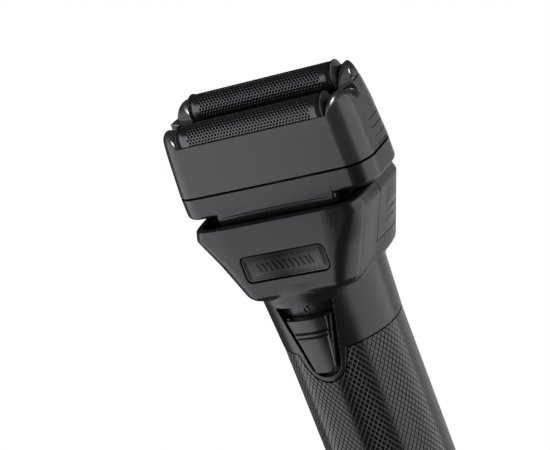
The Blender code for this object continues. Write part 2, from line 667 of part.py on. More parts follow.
def carrier(name, centre):
    """Frame round a foil: a curved plate at each end and a rail beside each leg."""
    plate = [(CARRIER_R, CARRIER_Z)] + arch(CARRIER_R, 10) + [(-CARRIER_R, CARRIER_Z)]
    carrier_black = material(name + "_black", (0.03, 0.03, 0.032), roughness=0.45)
    obj = finish(name, tilted(prism(plate, 24.2, 25.2, "x"), centre), carrier_black)
    far_end = tilted(prism(plate, -25.2, -24.2, "x"), centre)
    carve(obj, far_end, f"tool_{name}_end", "UNION")
    for label, sign in (("a", -1), ("b", 1)):
        rail = [(4.75, CARRIER_Z), (4.15, CARRIER_Z), (4.15, -3.3), (4.75, -3.3)]
        shape = prism([(sign * y, z) for y, z in rail], -24.6, 24.6, "x")
        carve(obj, tilted(shape, centre), f"tool_{name}_rail_{label}", "UNION")
    return obj


cassette_axis = body("cassette_axis", (0.0, 0.0, CASSETTE_Z0))


def shaving_unit(label, centre, stroke_z, **arm_sizes):
    """One arm with its spring and cutter, and the foil over it.  centre: the arch's (y, z)."""
    post_y = ARM_Y[label]
    arm = drive_arm(label + "_oscillator", centre, post_y=post_y, **arm_sizes)
    spring_shape = shift(coil(radius=2.2, turns=3.5, length=4.2), (0, 0, -9.1))
    cutter_spring = finish(label + "_cutter_spring", tilted(spring_shape, centre), steel)
    stroke_axis = body(label + "_stroke_axis", (0.0, post_y, stroke_z))
    carry(stroke_axis, arm, cutter_spring)

    cutter_axis = body(label + "_cutter_axis", (0.0, *centre))
    carry(cutter_axis, cutter(label + "_cutter", centre))
    mount_body(cutter_axis, stroke_axis)

    foil_axis = body(label + "_foil_axis", (0.0, *centre))
    carry(foil_axis, foil(label + "_foil", centre), carrier(label + "_foil_carrier", centre))
    mount_body(foil_axis, cassette_axis)


shaving_unit(
    "front", centre=(-6.5, 153.9), stroke_z=115.0, plate_z=(113.9, 116.4), plate_back=7.4,
    window_y=(-4.7, 4.7), post_top=145.2, collar_back=2.6,
)
shaving_unit(
    "rear", centre=(6.6, 158.7), stroke_z=118.0, plate_z=(117.0, 119.5), plate_back=12.8,
    window_y=(-8.7, 4.7), post_top=149.2, collar_back=1.8,
)

# ================================================================ foil cassette
# Plan sections narrow slightly upwards; the side profile with its two lobes is cut
# from them, then the hollow and the opening for the foils.
CASSETTE_ROWS = [  # z, half width, front y, back y
    (CASSETTE_Z0, HEAD_HALF, HEAD_FRONT, HEAD_BACK),
    (150.0, 32.1, -11.5, 15.4),
    (156.0, 31.45, -11.1, 14.9),
    (162.5, 30.3, -10.7, 14.2),
]
CASSETTE_SIDE = [  # y, z: up the back, over the rear lobe, the dip and the front lobe
    (-16.0, CASSETTE_Z0 - 2.0), (20.0, CASSETTE_Z0 - 2.0), (16.5, 152.0),
    *arc((8.9, 156.1), 5.0, 10.0, 150.0, 8),
    (3.6, 157.0), (2.6, 157.3), (1.2, 156.6), (-1.0, 154.6),
    *arc((-6.2, 152.4), 5.0, 40.0, 175.0, 7),
    (-16.0, 150.0),
]
OPENING_CENTRE = (0.05, 156.3)  # y, z
cassette_rings = [head_ring(z, 0.0, *plan) for z, *plan in CASSETTE_ROWS]
cassette = finish("foil_cassette", loft(cassette_rings), plastic)
carve(cassette, prism(CASSETTE_SIDE, -40.0, 40.0, "x"), "tool_cassette_profile", "INTERSECT")

# Hollow from below, thinner at the back wall, with a roof that slopes as the foils do.
low_ring = head_ring(CASSETTE_Z0 - 1.0, -2.0, back=HEAD_BACK + 0.6)
roof_plan = head_ring(0.0, -2.1, half_width=31.3, front=-11.2, back=15.6)
roof_ring = [(x, y, 149.9 + math.tan(TILT) * y) for x, y, _ in roof_plan]
carve(cassette, loft([low_ring, roof_ring]), "tool_cassette_hollow")
for name, y_span, z_span in (
    ("tool_foil_opening", (-11.75, 11.9), (-6.8, 16.0)),
    ("tool_rail_pocket", (-12.2, 12.35), (-6.9, -2.8)),
):
    carve(cassette, tilted(box(25.6, y_span, z_span), OPENING_CENTRE), name)
carry(cassette_axis, cassette)
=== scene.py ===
"""Looks for a double-foil shaver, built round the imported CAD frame.

The shaver stands upright in the row frame: +Z up the barrel from its foot near z = 0, +X along
the foils, -Y the front and +X the right seen from the front. Shapes are modelled in millimetres
and written to the meshes in metres. Most shells are signed fields, negative inside, that are
skinned on a grid whose lines crowd together where the detail is fine.
"""

import math
from functools import reduce
from itertools import product

import bpy
import numpy as np
from mathutils import Matrix, Vector


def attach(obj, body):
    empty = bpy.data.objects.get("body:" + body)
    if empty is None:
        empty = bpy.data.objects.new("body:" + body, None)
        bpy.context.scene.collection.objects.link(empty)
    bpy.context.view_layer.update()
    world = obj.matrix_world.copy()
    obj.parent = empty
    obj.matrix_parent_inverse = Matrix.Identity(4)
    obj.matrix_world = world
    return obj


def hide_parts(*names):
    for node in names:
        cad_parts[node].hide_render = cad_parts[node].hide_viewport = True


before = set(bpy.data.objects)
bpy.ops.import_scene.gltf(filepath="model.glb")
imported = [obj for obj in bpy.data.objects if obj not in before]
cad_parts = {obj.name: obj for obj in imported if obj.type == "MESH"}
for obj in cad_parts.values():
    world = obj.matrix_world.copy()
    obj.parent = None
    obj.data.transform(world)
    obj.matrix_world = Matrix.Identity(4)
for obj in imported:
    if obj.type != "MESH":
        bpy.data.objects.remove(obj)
scene = bpy.context.scene
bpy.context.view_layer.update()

METRES_PER_MM = 0.001

BARREL_RADIUS = 19.0
BUTTON_Y = 5.0
BADGE_Z = 114.4

# The foils and cutters lean back about X; centres are (y, z) of their arches.
TILT = math.radians(20.2)
COS_TILT, SIN_TILT = math.cos(TILT), math.sin(TILT)
FOIL_CENTRES = {"front": (-6.5, 153.9), "rear": (6.6, 158.7)}
HEAD_Y, HEAD_Z = ((front + rear) / 2 for front, rear in zip(*FOIL_CENTRES.values()))


# ------------------------------------------------------------------ field tools
# A factor that scales a whole wall expression turns its offset along an axis into a distance
# square to that sloping wall.
def meet(first, second, radius):
    """Intersection with a round of the given radius."""
    corner = np.sqrt(np.maximum(first + radius, 0) ** 2 + np.maximum(second + radius, 0) ** 2)
    return np.minimum(np.maximum(first, second), -radius) + corner


def join(first, second, radius):
    """Union with a fillet of the given radius."""
    return -meet(-first, -second, radius)


def overlap(*fields):
    """Intersection with sharp edges."""
    return reduce(np.maximum, fields)


def union(*fields):
    """Union with sharp edges."""
    return reduce(np.minimum, fields)


def cut(body, tool, radius=None):
    """Body less tool, with the new edge rounded if a radius is given."""
    return overlap(body, -tool) if radius is None else meet(body, -tool, radius)


def ease(value, start, end):
    """Smooth step from 0 at start to 1 at end."""
    part = np.clip((value - start) / (end - start), 0.0, 1.0)
    return part * part * (3 - 2 * part)


def slab(value, centre, half):
    return np.abs(value - centre) - half


def disc(across, along, radius):
    return np.sqrt(across * across + along * along) - radius


def rounded_rect(across, along, half_across, half_along, radius):
    """Rounded rectangle centred on the origin."""
    past_a = np.abs(across) - (half_across - radius)
    past_b = np.abs(along) - (half_along - radius)
    corner = np.sqrt(np.maximum(past_a, 0) ** 2 + np.maximum(past_b, 0) ** 2)
    return corner + np.minimum(np.maximum(past_a, past_b), 0) - radius


def grid_lines(start, *spans):
    """Grid lines from start through consecutive (end, step) spans."""
    values = []
    for end, step in spans:
        count = max(1, int(round((end - start) / step)))
        values.extend(start + (end - start) * k / count for k in range(count))
        start = end
    return np.array(values + [start], np.float32)


def mirrored(*spans):
    """Grid lines from 0 outwards, repeated on the negative side."""
    half = grid_lines(0.0, *spans)
    return np.concatenate([-half[:0:-1], half])


# ------------------------------------------------------------------ skinning
PROJECTION_STEPS = 3
CORNERS = list(product((0, 1), repeat=3))
# the four cells round a grid edge along each axis, as offsets
CELLS_ROUND_EDGE = (
    ((0, -1, -1), (0, 0, -1), (0, 0, 0), (0, -1, 0)),
    ((-1, 0, -1), (-1, 0, 0), (0, 0, 0), (0, 0, -1)),
    ((-1, -1, 0), (0, -1, 0), (0, 0, 0), (-1, 0, 0)),
)


def sample(field, grid):
    """Field values at every grid point, taken a few layers at a time."""
    across, along, heights = grid
    values = np.empty([len(axis_lines) for axis_lines in grid], np.float32)
    X, Y = np.meshgrid(across, along, indexing="ij")
    for k in range(0, len(heights), 12):
        layers = slice(k, k + 12)
        values[:, :, layers] = field(X[:, :, None], Y[:, :, None], heights[None, None, layers])
    return values


def gradient(field, points, step):
    slopes = np.empty_like(points)
    for axis in range(3):
        shift = np.zeros(3)
        shift[axis] = step
        slopes[:, axis] = (field(*(points + shift).T) - field(*(points - shift).T)) / (2 * step)
    return slopes


def surface(field, grid):
    """Skins field = 0 on a rectilinear grid; returns points, quads and normals."""
    values = sample(field, grid)
    inside = values < 0
    cells = [size - 1 for size in values.shape]
    count = np.zeros(cells, np.int8)
    for i, j, k in CORNERS:
        count += inside[i : cells[0] + i, j : cells[1] + j, k : cells[2] + k]
    active = (count > 0) & (count < 8)
    cell = np.argwhere(active)
    index = np.full(active.shape, -1, np.int64)
    index[active] = np.arange(len(cell))
    corner = {at: values[tuple((cell + at).T)].astype(np.float64) for at in CORNERS}
    low, high = (
        np.stack([grid[axis][cell[:, axis] + step] for axis in range(3)], 1).astype(np.float64)
        for step in (0, 1)
    )

    # each point starts at the mean of the crossings on its cell's edges
    total = np.zeros((len(cell), 3))
    hits = np.zeros(len(cell))
    for axis in range(3):
        for start in product((0, 1), repeat=2):
            near = list(start)
            near.insert(axis, 0)
            far = list(near)
            far[axis] = 1
            at_near, at_far = corner[tuple(near)], corner[tuple(far)]
            cross = (at_near < 0) != (at_far < 0)
            part = np.where(cross, at_near / np.where(cross, at_near - at_far, 1.0), 0.0)
            crossing = low + (high - low) * np.array(near)
            crossing[:, axis] = low[:, axis] + (high - low)[:, axis] * part
            total[cross] += crossing[cross]
            hits[cross] += 1
    points = total / hits[:, None]

    # then it is drawn onto the surface without straying far from its cell
    limit = 0.7 * (high - low)
    start = points.copy()
    for _ in range(PROJECTION_STEPS):
        slope = gradient(field, points, 0.01)
        value = field(*points.T)
        points = points - slope * (value / np.maximum((slope * slope).sum(1), 0.05))[:, None]
        points = start + np.clip(points - start, -limit, limit)
    normals = gradient(field, points, 0.03)
    normals /= np.maximum(np.linalg.norm(normals, axis=1), 1e-9)[:, None]

    quads = []
    for axis in range(3):
        take_near = [slice(1, -1)] * 3
        take_far = [slice(1, -1)] * 3
        take_near[axis] = slice(0, -1)
        take_far[axis] = slice(1, None)
        near, far = inside[tuple(take_near)], inside[tuple(take_far)]
        for leaves, flip in ((near & ~far, 1), (~near & far, -1)):
            base = np.argwhere(leaves) + 1
            base[:, axis] -= 1
            ring = [index[tuple((base + offset).T)] for offset in CELLS_ROUND_EDGE[axis]]
            quads.append(np.stack(ring, 1)[:, ::flip])
    quads = np.concatenate(quads)
    return points, quads[(quads >= 0).all(1)], normals


def mesh_of(name, points, groups, normals=None, flat=False):
    """Mesh from points in mm and a list of arrays, each of equal-sized polygons."""
    mesh = bpy.data.meshes.new(name)
    points = np.asarray(points, np.float64) * METRES_PER_MM
    mesh.vertices.add(len(points))
    mesh.vertices.foreach_set("co", points.astype(np.float32).ravel())
    loops = np.concatenate([group.ravel() for group in groups])
    sizes = np.concatenate([np.full(len(group), group.shape[1]) for group in groups])
    starts = np.concatenate([[0], np.cumsum(sizes)[:-1]])
    mesh.loops.add(len(loops))
    mesh.loops.foreach_set("vertex_index", loops.astype(np.int32))
    mesh.polygons.add(len(sizes))
    mesh.polygons.foreach_set("loop_start", starts.astype(np.int32))
    mesh.update(calc_edges=True)
    if flat:
        mesh.shade_flat()
    else:
        mesh.shade_smooth()
    if normals is not None:
        mesh.normals_split_custom_set_from_vertices(normals.tolist())
    return mesh


def piece(name, mesh, body, look, replaced):
    """Object that rides on a body and stands in for one CAD node."""
    obj = bpy.data.objects.new(name, mesh)
    scene.collection.objects.link(obj)
    mesh.materials.append(LOOKS[look])
    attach(obj, body)
    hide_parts(replaced)
    return obj


def skin(name, field, grid, body, look, replaced):
    points, quads, normals = surface(field, grid)
    piece(name, mesh_of(name, points, [quads], normals), body, look, replaced)


# ------------------------------------------------------------------ materials
def feed(tree, node, inputs):
    """Sets or links inputs, given as {socket: value or output socket}."""
    for socket, value in inputs.items():
        if isinstance(value, bpy.types.NodeSocket):
            tree.links.new(value, node.inputs[socket])
        else:
            node.inputs[socket].default_value = value


def add_node(tree, kind, inputs=None, **settings):
    node = tree.nodes.new("ShaderNode" + kind)
    for setting, value in settings.items():
        setattr(node, setting, value)
    feed(tree, node, inputs or {})
    return node


def shader(name):
    mat = bpy.data.materials.new(name)
    mat.use_nodes = True
    tree = mat.node_tree
    return mat, tree, tree.nodes["Principled BSDF"], add_node(tree, "TexCoord").outputs["Object"]


def noise(tree, vector, scale, detail, roughness=0.5):
    inputs = {"Scale": scale, "Detail": detail, "Roughness": roughness, "Vector": vector}
    return add_node(tree, "TexNoise", inputs).outputs["Fac"]


def map_range(tree, value, source, target, **settings):
    """Maps the source (min, max) to the target (min, max)."""
    inputs = {
        "From Min": source[0],
        "From Max": source[1],
        "To Min": target[0],
        "To Max": target[1],
        "Value": value,
    }
    return add_node(tree, "MapRange", inputs, **settings).outputs["Result"]


def finish(tree, node, base, tone, contrast, gloss, roughness, height, strength, distance):
    """Colour from tone, roughness (low, high) from gloss and relief from height."""
    ramp = add_node(tree, "ValToRGB", {"Fac": tone})
    stops = ((0.3, 1 - contrast), (0.7, 1 + contrast))
    for stop, (position, factor) in zip(ramp.color_ramp.elements, stops):
        stop.position = position
        stop.color = (*(channel * factor for channel in base), 1)
    relief = add_node(
        tree, "Bump", {"Strength": strength, "Distance": distance, "Height": height}
    )
    feed(tree, node, {
        "Base Color": ramp.outputs["Color"],
        "Roughness": map_range(tree, gloss, (0.25, 0.75), roughness),
        "Normal": relief.outputs["Normal"],
    })


def plastic(name, base, rough, grain=0.25, scale=9000.0, specular=0.5):
    """Satin moulded finish: faint mottling, uneven gloss and a fine grain."""
    mat, tree, node, coords = shader(name)
    wide = noise(tree, coords, scale=90.0, detail=3.0)
    fine = noise(tree, coords, scale=scale, detail=2.0)
    node.inputs["Specular IOR Level"].default_value = specular
    finish(
        tree, node, base, tone=wide, contrast=0.12, gloss=wide,
        roughness=(rough - 0.02, rough + 0.02), height=fine, strength=grain, distance=0.00002,
    )
    return mat


def brushed(name, base, rough, stretch, grain=0.3, metal=1.0):
    """Metal with fine parallel scratches; stretch scales the scratches along X, Y and Z."""
    mat, tree, node, coords = shader(name)
    mapping = add_node(tree, "Mapping", {"Scale": stretch, "Vector": coords})
    stretched = mapping.outputs["Vector"]
    scratches = noise(tree, stretched, scale=2500.0, detail=3.0, roughness=0.6)
    wide = noise(tree, coords, scale=120.0, detail=2.0)
    node.inputs["Metallic"].default_value = metal
    finish(
        tree, node, base, tone=scratches, contrast=0.2, gloss=wide,
        roughness=(rough - 0.04, rough + 0.04), height=scratches, strength=grain,
        distance=0.00001,
    )
    return mat


SATIN = {"base": (0.008, 0.0082, 0.0088), "rough": 0.28, "grain": 0.2}
LOOKS = {
    "housing": plastic(
        "satin_black", base=(0.008, 0.0083, 0.0090), rough=0.28, grain=0.2, specular=0.43
    ),
    "head": plastic("satin_black_head", **SATIN),
    "slider": plastic("satin_black_slider", base=(0.011, 0.0113, 0.012), rough=0.26, grain=0.12),
    "button": plastic("satin_black_button", **SATIN),
    "grip": plastic(
        "knurled_black_metal", base=(0.003, 0.0031, 0.0034), rough=0.2, grain=0.05,
        scale=6000.0, specular=0.55,
    ),
    "cap": plastic("satin_black_cap", base=(0.010, 0.0103, 0.011), rough=0.38),
    "deep": plastic("matte_black_inner", base=(0.006, 0.006, 0.0065), rough=0.55),
    "badge": brushed(
        "gunmetal_plate", base=(0.050, 0.050, 0.052), rough=0.24, stretch=(1.0, 8.0, 12.0)
    ),
    "foil": brushed(
        "dark_foil", base=(0.082, 0.082, 0.084), rough=0.27, stretch=(0.4, 6.0, 6.0),
        grain=0.15, metal=0.8,
    ),
    "endplate": plastic("dark_end_plate", base=(0.018, 0.018, 0.019), rough=0.28, grain=0.1),
    # painted shade: the blades are coloured near black to stand in for the shade under the foils
    "blade": brushed(
        "shade_darkened_blade", base=(0.03, 0.03, 0.032), rough=0.45, stretch=(8.0, 1.0, 1.0), grain=0.2
    ),
    "steel": brushed(
        "plated_steel", base=(0.42, 0.42, 0.43), rough=0.28, stretch=(3.0, 3.0, 0.5), grain=0.2
    ),
    "acetal": plastic(
        "natural_acetal", base=(0.66, 0.66, 0.63), rough=0.42, grain=0.2, scale=5000.0
    ),
    "chassis": plastic("grey_moulding", base=(0.09, 0.09, 0.09), rough=0.5),
    "cell": plastic("blue_sleeve", base=(0.03, 0.10, 0.22), rough=0.35, grain=0.1),
    "nickel": brushed(
        "nickel_strip", base=(0.55, 0.53, 0.49), rough=0.3, stretch=(0.5, 4.0, 4.0)
    ),
    "board": plastic("green_laminate", base=(0.02, 0.11, 0.05), rough=0.38, grain=0.3),
    "electrical": plastic("black_nylon", base=(0.012, 0.012, 0.012), rough=0.45),
    "motor": brushed("zinc_can", base=(0.50, 0.51, 0.52), rough=0.32, stretch=(2.0, 2.0, 0.4)),
    "seal": plastic(
        "black_rubber", base=(0.012, 0.012, 0.012), rough=0.75, grain=0.5, scale=3000.0
    ),
    "lens": plastic("milky_lens", base=(0.60, 0.63, 0.65), rough=0.2, grain=0.05),
}


def paint_badge_reflection(tree):
    """Painted reflection: plate colour darker towards its top and middle, lighter at the ends."""
    node = tree.nodes["Principled BSDF"]
    source = node.inputs["Base Color"].links[0].from_socket
    coords = add_node(tree, "TexCoord").outputs["Object"]
    split = add_node(tree, "SeparateXYZ", {"Vector": coords}).outputs
    # the painted dark middle of the reflection lies 2 mm to the left of centre
    shift = add_node(tree, "Math", {0: split["X"], 1: 0.002}, operation="ADD")
    across = add_node(tree, "Math", {0: shift.outputs["Value"]}, operation="ABSOLUTE")
    ends = map_range(tree, across.outputs["Value"], source=(0.001, 0.012), target=(0.30, 1.0))
    fall = map_range(tree, split["Z"], source=(0.1172, 0.1120), target=(0.55, 1.15))
    painted_reflection_scale = add_node(tree, "Math", {0: ends, 1: fall}, operation="MULTIPLY")
    scaled = add_node(
        tree, "VectorMath", {0: source, "Scale": painted_reflection_scale.outputs["Value"]}, operation="SCALE"
    )
    feed(tree, node, {"Base Color": scaled.outputs["Vector"]})


# paints a reflection gradient into the badge plate's colour
paint_badge_reflection(LOOKS["badge"].node_tree)

# CAD nodes by the look they take
LOOK_NODES = {
    "badge": "badge_plate",
    "steel": """cap_screw_left cap_screw_right mount_screw_left mount_screw_right
        release_spring_left release_spring_right motor_shaft
        front_cutter_spring rear_cutter_spring""",
    "electrical": "charge_socket power_switch",
    "lens": "charge_light",
    "chassis": "chassis_front chassis_rear motor_mount spring_seat_left spring_seat_right",
    "cell": "battery_cell",
    "nickel": "battery_tab_upper battery_tab_lower",
    "board": "circuit_board",
    "motor": "motor_can",
    "deep": "top_deck head_pedestal",
    "seal": "drive_seal_front drive_seal_rear",
    "acetal": "eccentric_cam front_oscillator rear_oscillator",
}
for look, node_names in LOOK_NODES.items():
    for node_name in node_names.split():
        node_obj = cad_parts[node_name]
        if not node_obj.material_slots:
            node_obj.data.materials.append(LOOKS[look])
        for entry in node_obj.material_slots:
            entry.material = LOOKS[look]


# ------------------------------------------------------------------ upper housing
HOUSING_TOP = 128.35
FLARE_FOOT, FLARE_TOP = 104.2, 125.0
FRONT_BREAK = 125.3  # height where the front and rear walls start to lean in
NECK_FOOT = 84.2
WINDOW_HALF = 7.0  # half width, along Y, of the button windows

# badge pocket: half width, half height and corner radius
POCKET = (14.12, 4.35, 2.0)


def shoulder(x, y, z):
    """Flared shoulder without its rim and underside."""
    absx, absy = np.abs(x), np.abs(y)
    part = (z - FLARE_FOOT) / (FLARE_TOP - FLARE_FOOT)
    behind = ease(y, -6.0, 10.0)
    top_half = 29.0 + 0.45 * behind
    half = (19.4 + 1.9 * behind) * (1 - part) + top_half * part
    belly = (1.3 - 0.5 * behind) * (y / 17.85) ** 2
    side_low = (absx - half + belly) * 0.915
    side_high = (absx - top_half + 0.309 * (z - FLARE_TOP) + belly) * 0.955
    lean = 0.02 * np.clip(FLARE_TOP - z, 0.0, 22.0)
    front_low = absy - BARREL_RADIUS - lean
    front_high = (absy - BARREL_RADIUS + 0.132 * (z - FRONT_BREAK)) * 0.991
    crease = 17.55 - 0.104 * (FRONT_BREAK - z)
    facet_low = (absx - crease) * 0.146 + front_low * 0.989
    facet_high = facet_low + 0.13 * (z - FRONT_BREAK)
    side = meet(side_low, side_high, 0.5)
    facet = meet(facet_low, facet_high, 0.4)
    front = meet(front_low, front_high, 0.4)
    corner = 6.0 - 2.0 * ease(z, 114.0, 127.0) * ease(-y, 0.0, 6.0)
    return meet(meet(facet, side, corner), front, 0.35)


def tongue_outline(x, z):
    """Front view of the tongue below the housing, which the sleeve is notched for."""
    foot, corner = 74.4, 5.0
    return meet((np.abs(x) - (6.9 + 0.34 * (z - 80.6))) * 0.947, foot - z, corner)


def housing_body(x, y, z, radial, walls):
    """Shoulder, neck and tongue over a spigot, hollowed out."""
    part_y = np.abs(y) / BARREL_RADIUS
    under = (101.9 + (1.7 - 1.0 * (y > 0)) * np.clip(part_y, 0, 1.1) ** 3 - z) * 0.97
    top = meet(walls, z - HOUSING_TOP, 0.25)
    chamfer = (walls + z - (HOUSING_TOP - 0.4)) * 0.707
    top = meet(top, chamfer, 0.2)
    top = meet(top, under, 2.4)
    widen = 0.8 * np.clip((z - NECK_FOOT) / 17.5, 0.0, 1.0)
    pull = 0.6 * ease(z, 101.0, 104.5) * np.clip(part_y, 0, 1) ** 2
    neck = meet(radial - (19.1 + widen) + pull, NECK_FOOT - z, 0.2)
    neck = meet(neck, z - 107.0, 0.2)
    tongue_face = meet(radial - 19.08, overlap(z - 85.0, y), 0.2)
    tongue = meet(tongue_outline(x, z), tongue_face, 0.25)
    outer = join(top, join(neck, tongue, 0.05), 0.8)
    spigot = overlap(radial - 17.25, 70.2 - z, z - 86.0)
    cavity = union(overlap(walls + 2.1, 105.4 - z), overlap(radial - 16.0, z - 108.0))
    return cut(union(outer, spigot), cavity)


def off_mark(x, z):
    """Stroke of the small round off mark."""
    return np.abs(disc(x / 0.8, (z - 98.0) / 1.1, 1.0)) * 0.85 - 0.2


def housing(x, y, z):
    absx = np.abs(x)
    radial = np.sqrt(x * x + y * y)
    walls = shoulder(x, y, z)
    out = housing_body(x, y, z, radial, walls)
    # switch recess, the slot in its floor and the off mark
    recess_side = (absx - (5.17 + 0.226 * (z - 80.5))) * 0.975
    recess = meet(meet(recess_side, 76.3 - z, 3.4), z - 100.2, 0.5)
    out = cut(out, overlap(recess, 17.0 - radial, y), 0.22)
    out = cut(out, overlap(absx - 1.6, slab(z, 89.1, 4.5), radial - 17.4, y + 12.0))
    mark = overlap(off_mark(x, z), radial - 17.5, y, 16.2 - radial)
    out = np.where(np.abs(z - 98.0) < 1.7, np.minimum(out, mark), out)
    pocket = overlap(rounded_rect(x, z - BADGE_Z, *POCKET), y + 18.1)
    out = cut(out, pocket, 0.12)
    window = rounded_rect(y - BUTTON_Y, z - 122.0, WINDOW_HALF, 13.0, 0.5)
    return cut(out, overlap(window, 17.5 - absx), 0.1)


skin(
    "upper_housing_shell",
    housing,
    (
        mirrored(
            (1.1, 0.1), (4.0, 0.7), (10.4, 0.4), (12.0, 0.5), (13.7, 0.32), (14.5, 0.13),
            (19.0, 0.75), (32.6, 0.7),
        ),
        grid_lines(
            -21.2, (-17.9, 0.36), (-16.7, 0.15), (-2.8, 0.9), (-1.4, 0.25), (11.4, 1.3),
            (12.6, 0.25), (21.2, 0.95),
        ),
        grid_lines(
            69.9, (73.8, 1.0), (84.0, 0.55), (84.8, 0.2), (96.9, 0.6), (99.5, 0.11),
            (99.8, 0.15), (101.0, 0.3), (108.6, 0.5), (109.6, 0.16), (110.6, 0.15),
            (112.2, 0.3), (116.6, 0.8), (118.2, 0.3), (119.2, 0.15), (129.2, 0.46),
        ),
    ),
    "handle",
    "housing",
    "upper_housing",
)


# ------------------------------------------------------------------ head base
BASE_FOOT, BASE_TOP = 129.9, 136.75
LIP_HALF_CHORD = 18.0  # half width over which the lip's arc and seam fall


def head_plan(x, y, half_x, front_y, rear_y, bow):
    """Head outline; bow is how far the front falls back towards its ends."""
    mid = (front_y + rear_y) / 2
    bulge = (y - mid) / ((rear_y - front_y) / 2)
    side = np.abs(x) - (half_x - 0.6 * bulge * bulge)
    front = (front_y + bow * (x / 30.2) ** 2) - y
    rear = y - (rear_y - 0.3 * (x / 30.9) ** 2)
    return meet(meet(side, front, 6.6), rear, 10.5)


def head_base(x, y, z):
    absx = np.abs(x)
    plan = head_plan(x, y, half_x=32.75, front_y=-12.35, rear_y=15.9, bow=0.5)
    low_round = 1.5 - 0.8 * (1 - ease(absx, 17.0, 25.0)) * (y < 0)
    out = meet(meet(plan, BASE_FOOT - z, low_round), z - BASE_TOP, 0.08)
    wall = 2.0
    out = cut(out, meet(plan + wall, 132.0 - z, 1.0))
    # lens-shaped lip under the front wall, with a fine crease along its upper edge
    fall = (x / LIP_HALF_CHORD) ** 2
    arc = 130.45 - 0.75 * fall
    proud = -12.3 + 0.5 * (x / 30.2) ** 2 - 0.68 * (1 - ease(z, arc - 0.6, arc + 1.6))
    lip = meet(proud - y, 126.9 - z, 0.8)
    lip = meet(overlap(lip, y + 9.0, z - 132.4), absx - 19.9, 0.9)
    out = join(out, lip, 0.2)
    seam = disc(z - (129.85 - 0.45 * fall), y + 12.98, 0.27)
    out = cut(out, overlap(seam, absx - 18.4), 0.15)
    for hole_y in (-6.2, 10.2):
        out = cut(out, overlap(rounded_rect(x, y - hole_y, 4.4, 1.9, 0.3), z - 135.0))
    return out


skin(
    "head_base_shell",
    head_base,
    (
        mirrored((17.4, 0.55), (20.6, 0.22), (25.0, 0.5), (33.1, 0.33)),
        grid_lines(-13.6, (-12.2, 0.12), (-9.0, 0.25), (9.0, 0.55), (16.6, 0.36)),
        grid_lines(
            126.4, (128.9, 0.25), (130.8, 0.12), (133.0, 0.3), (136.2, 0.5), (137.3, 0.16)
        ),
    ),
    "handle",
    "head",
    "head_base",
)


def pedestal(x, y, z):
    """Rounded block between housing and head, hollow above its floor."""
    centre_y = 1.85
    outline = rounded_rect(x, y - centre_y, 24.6, 11.3, 6.0)
    out = meet(meet(outline, z - 129.6, 0.5), 124.9 - z, 0.5)
    return cut(out, overlap(rounded_rect(x, y - centre_y, 22.0, 8.7, 4.0), 127.0 - z))


skin(
    "head_pedestal_block",
    pedestal,
    (
        mirrored((18.0, 1.8), (26.0, 0.3)),
        grid_lines(-10.0, (14.0, 0.34)),
        grid_lines(124.6, (130.0, 0.27)),
    ),
    "handle",
    "head",
    "head_pedestal",
)


# ------------------------------------------------------------------ foil cassette
# z, half width in x, front y, rear y, bow of the front
CASSETTE_OUTLINES = (
    (137.0, 32.77, -12.37, 15.92, 0.5),
    (150.0, 32.1, -11.5, 15.4, 0.3),
    (153.0, 31.8, -11.32, 15.15, 0.2),
    (156.0, 31.45, -11.1, 14.9, 0.2),
    (162.5, 30.3, -10.7, 14.2, 0.2),
)
GRIP_LINES = (145.7, 143.1, 140.4, 137.95)  # heights of the grooves at the ends


def arched(y, z, spring_z):
    """Upright walls up to spring_z, closed by a round arch of radius 5."""
    return np.where(z < spring_z, np.abs(y), np.sqrt(y**2 + (z - spring_z) ** 2)) - 5.0


def cassette_crown(y, z):
    """Side view of the top: an arch over each foil and a valley between them."""
    rear_y = np.where(y > 8.9, (y - 8.9) / 1.3, y - 8.9)
    front_y = np.where(y < -6.2, (y + 6.2) / 1.1, y + 6.2)
    rear, front = arched(rear_y, z, 156.7), arched(front_y, z, 152.7)
    valley = overlap((z - (155.1 + 0.34 * y)) * 0.94, np.maximum(y - 8.0, -6.0 - y) * 0.8)
    crown = join(join(rear, front, 0.5), valley, 1.0)
    return np.where(z < 150.0, np.minimum(crown, z - 150.6), crown)


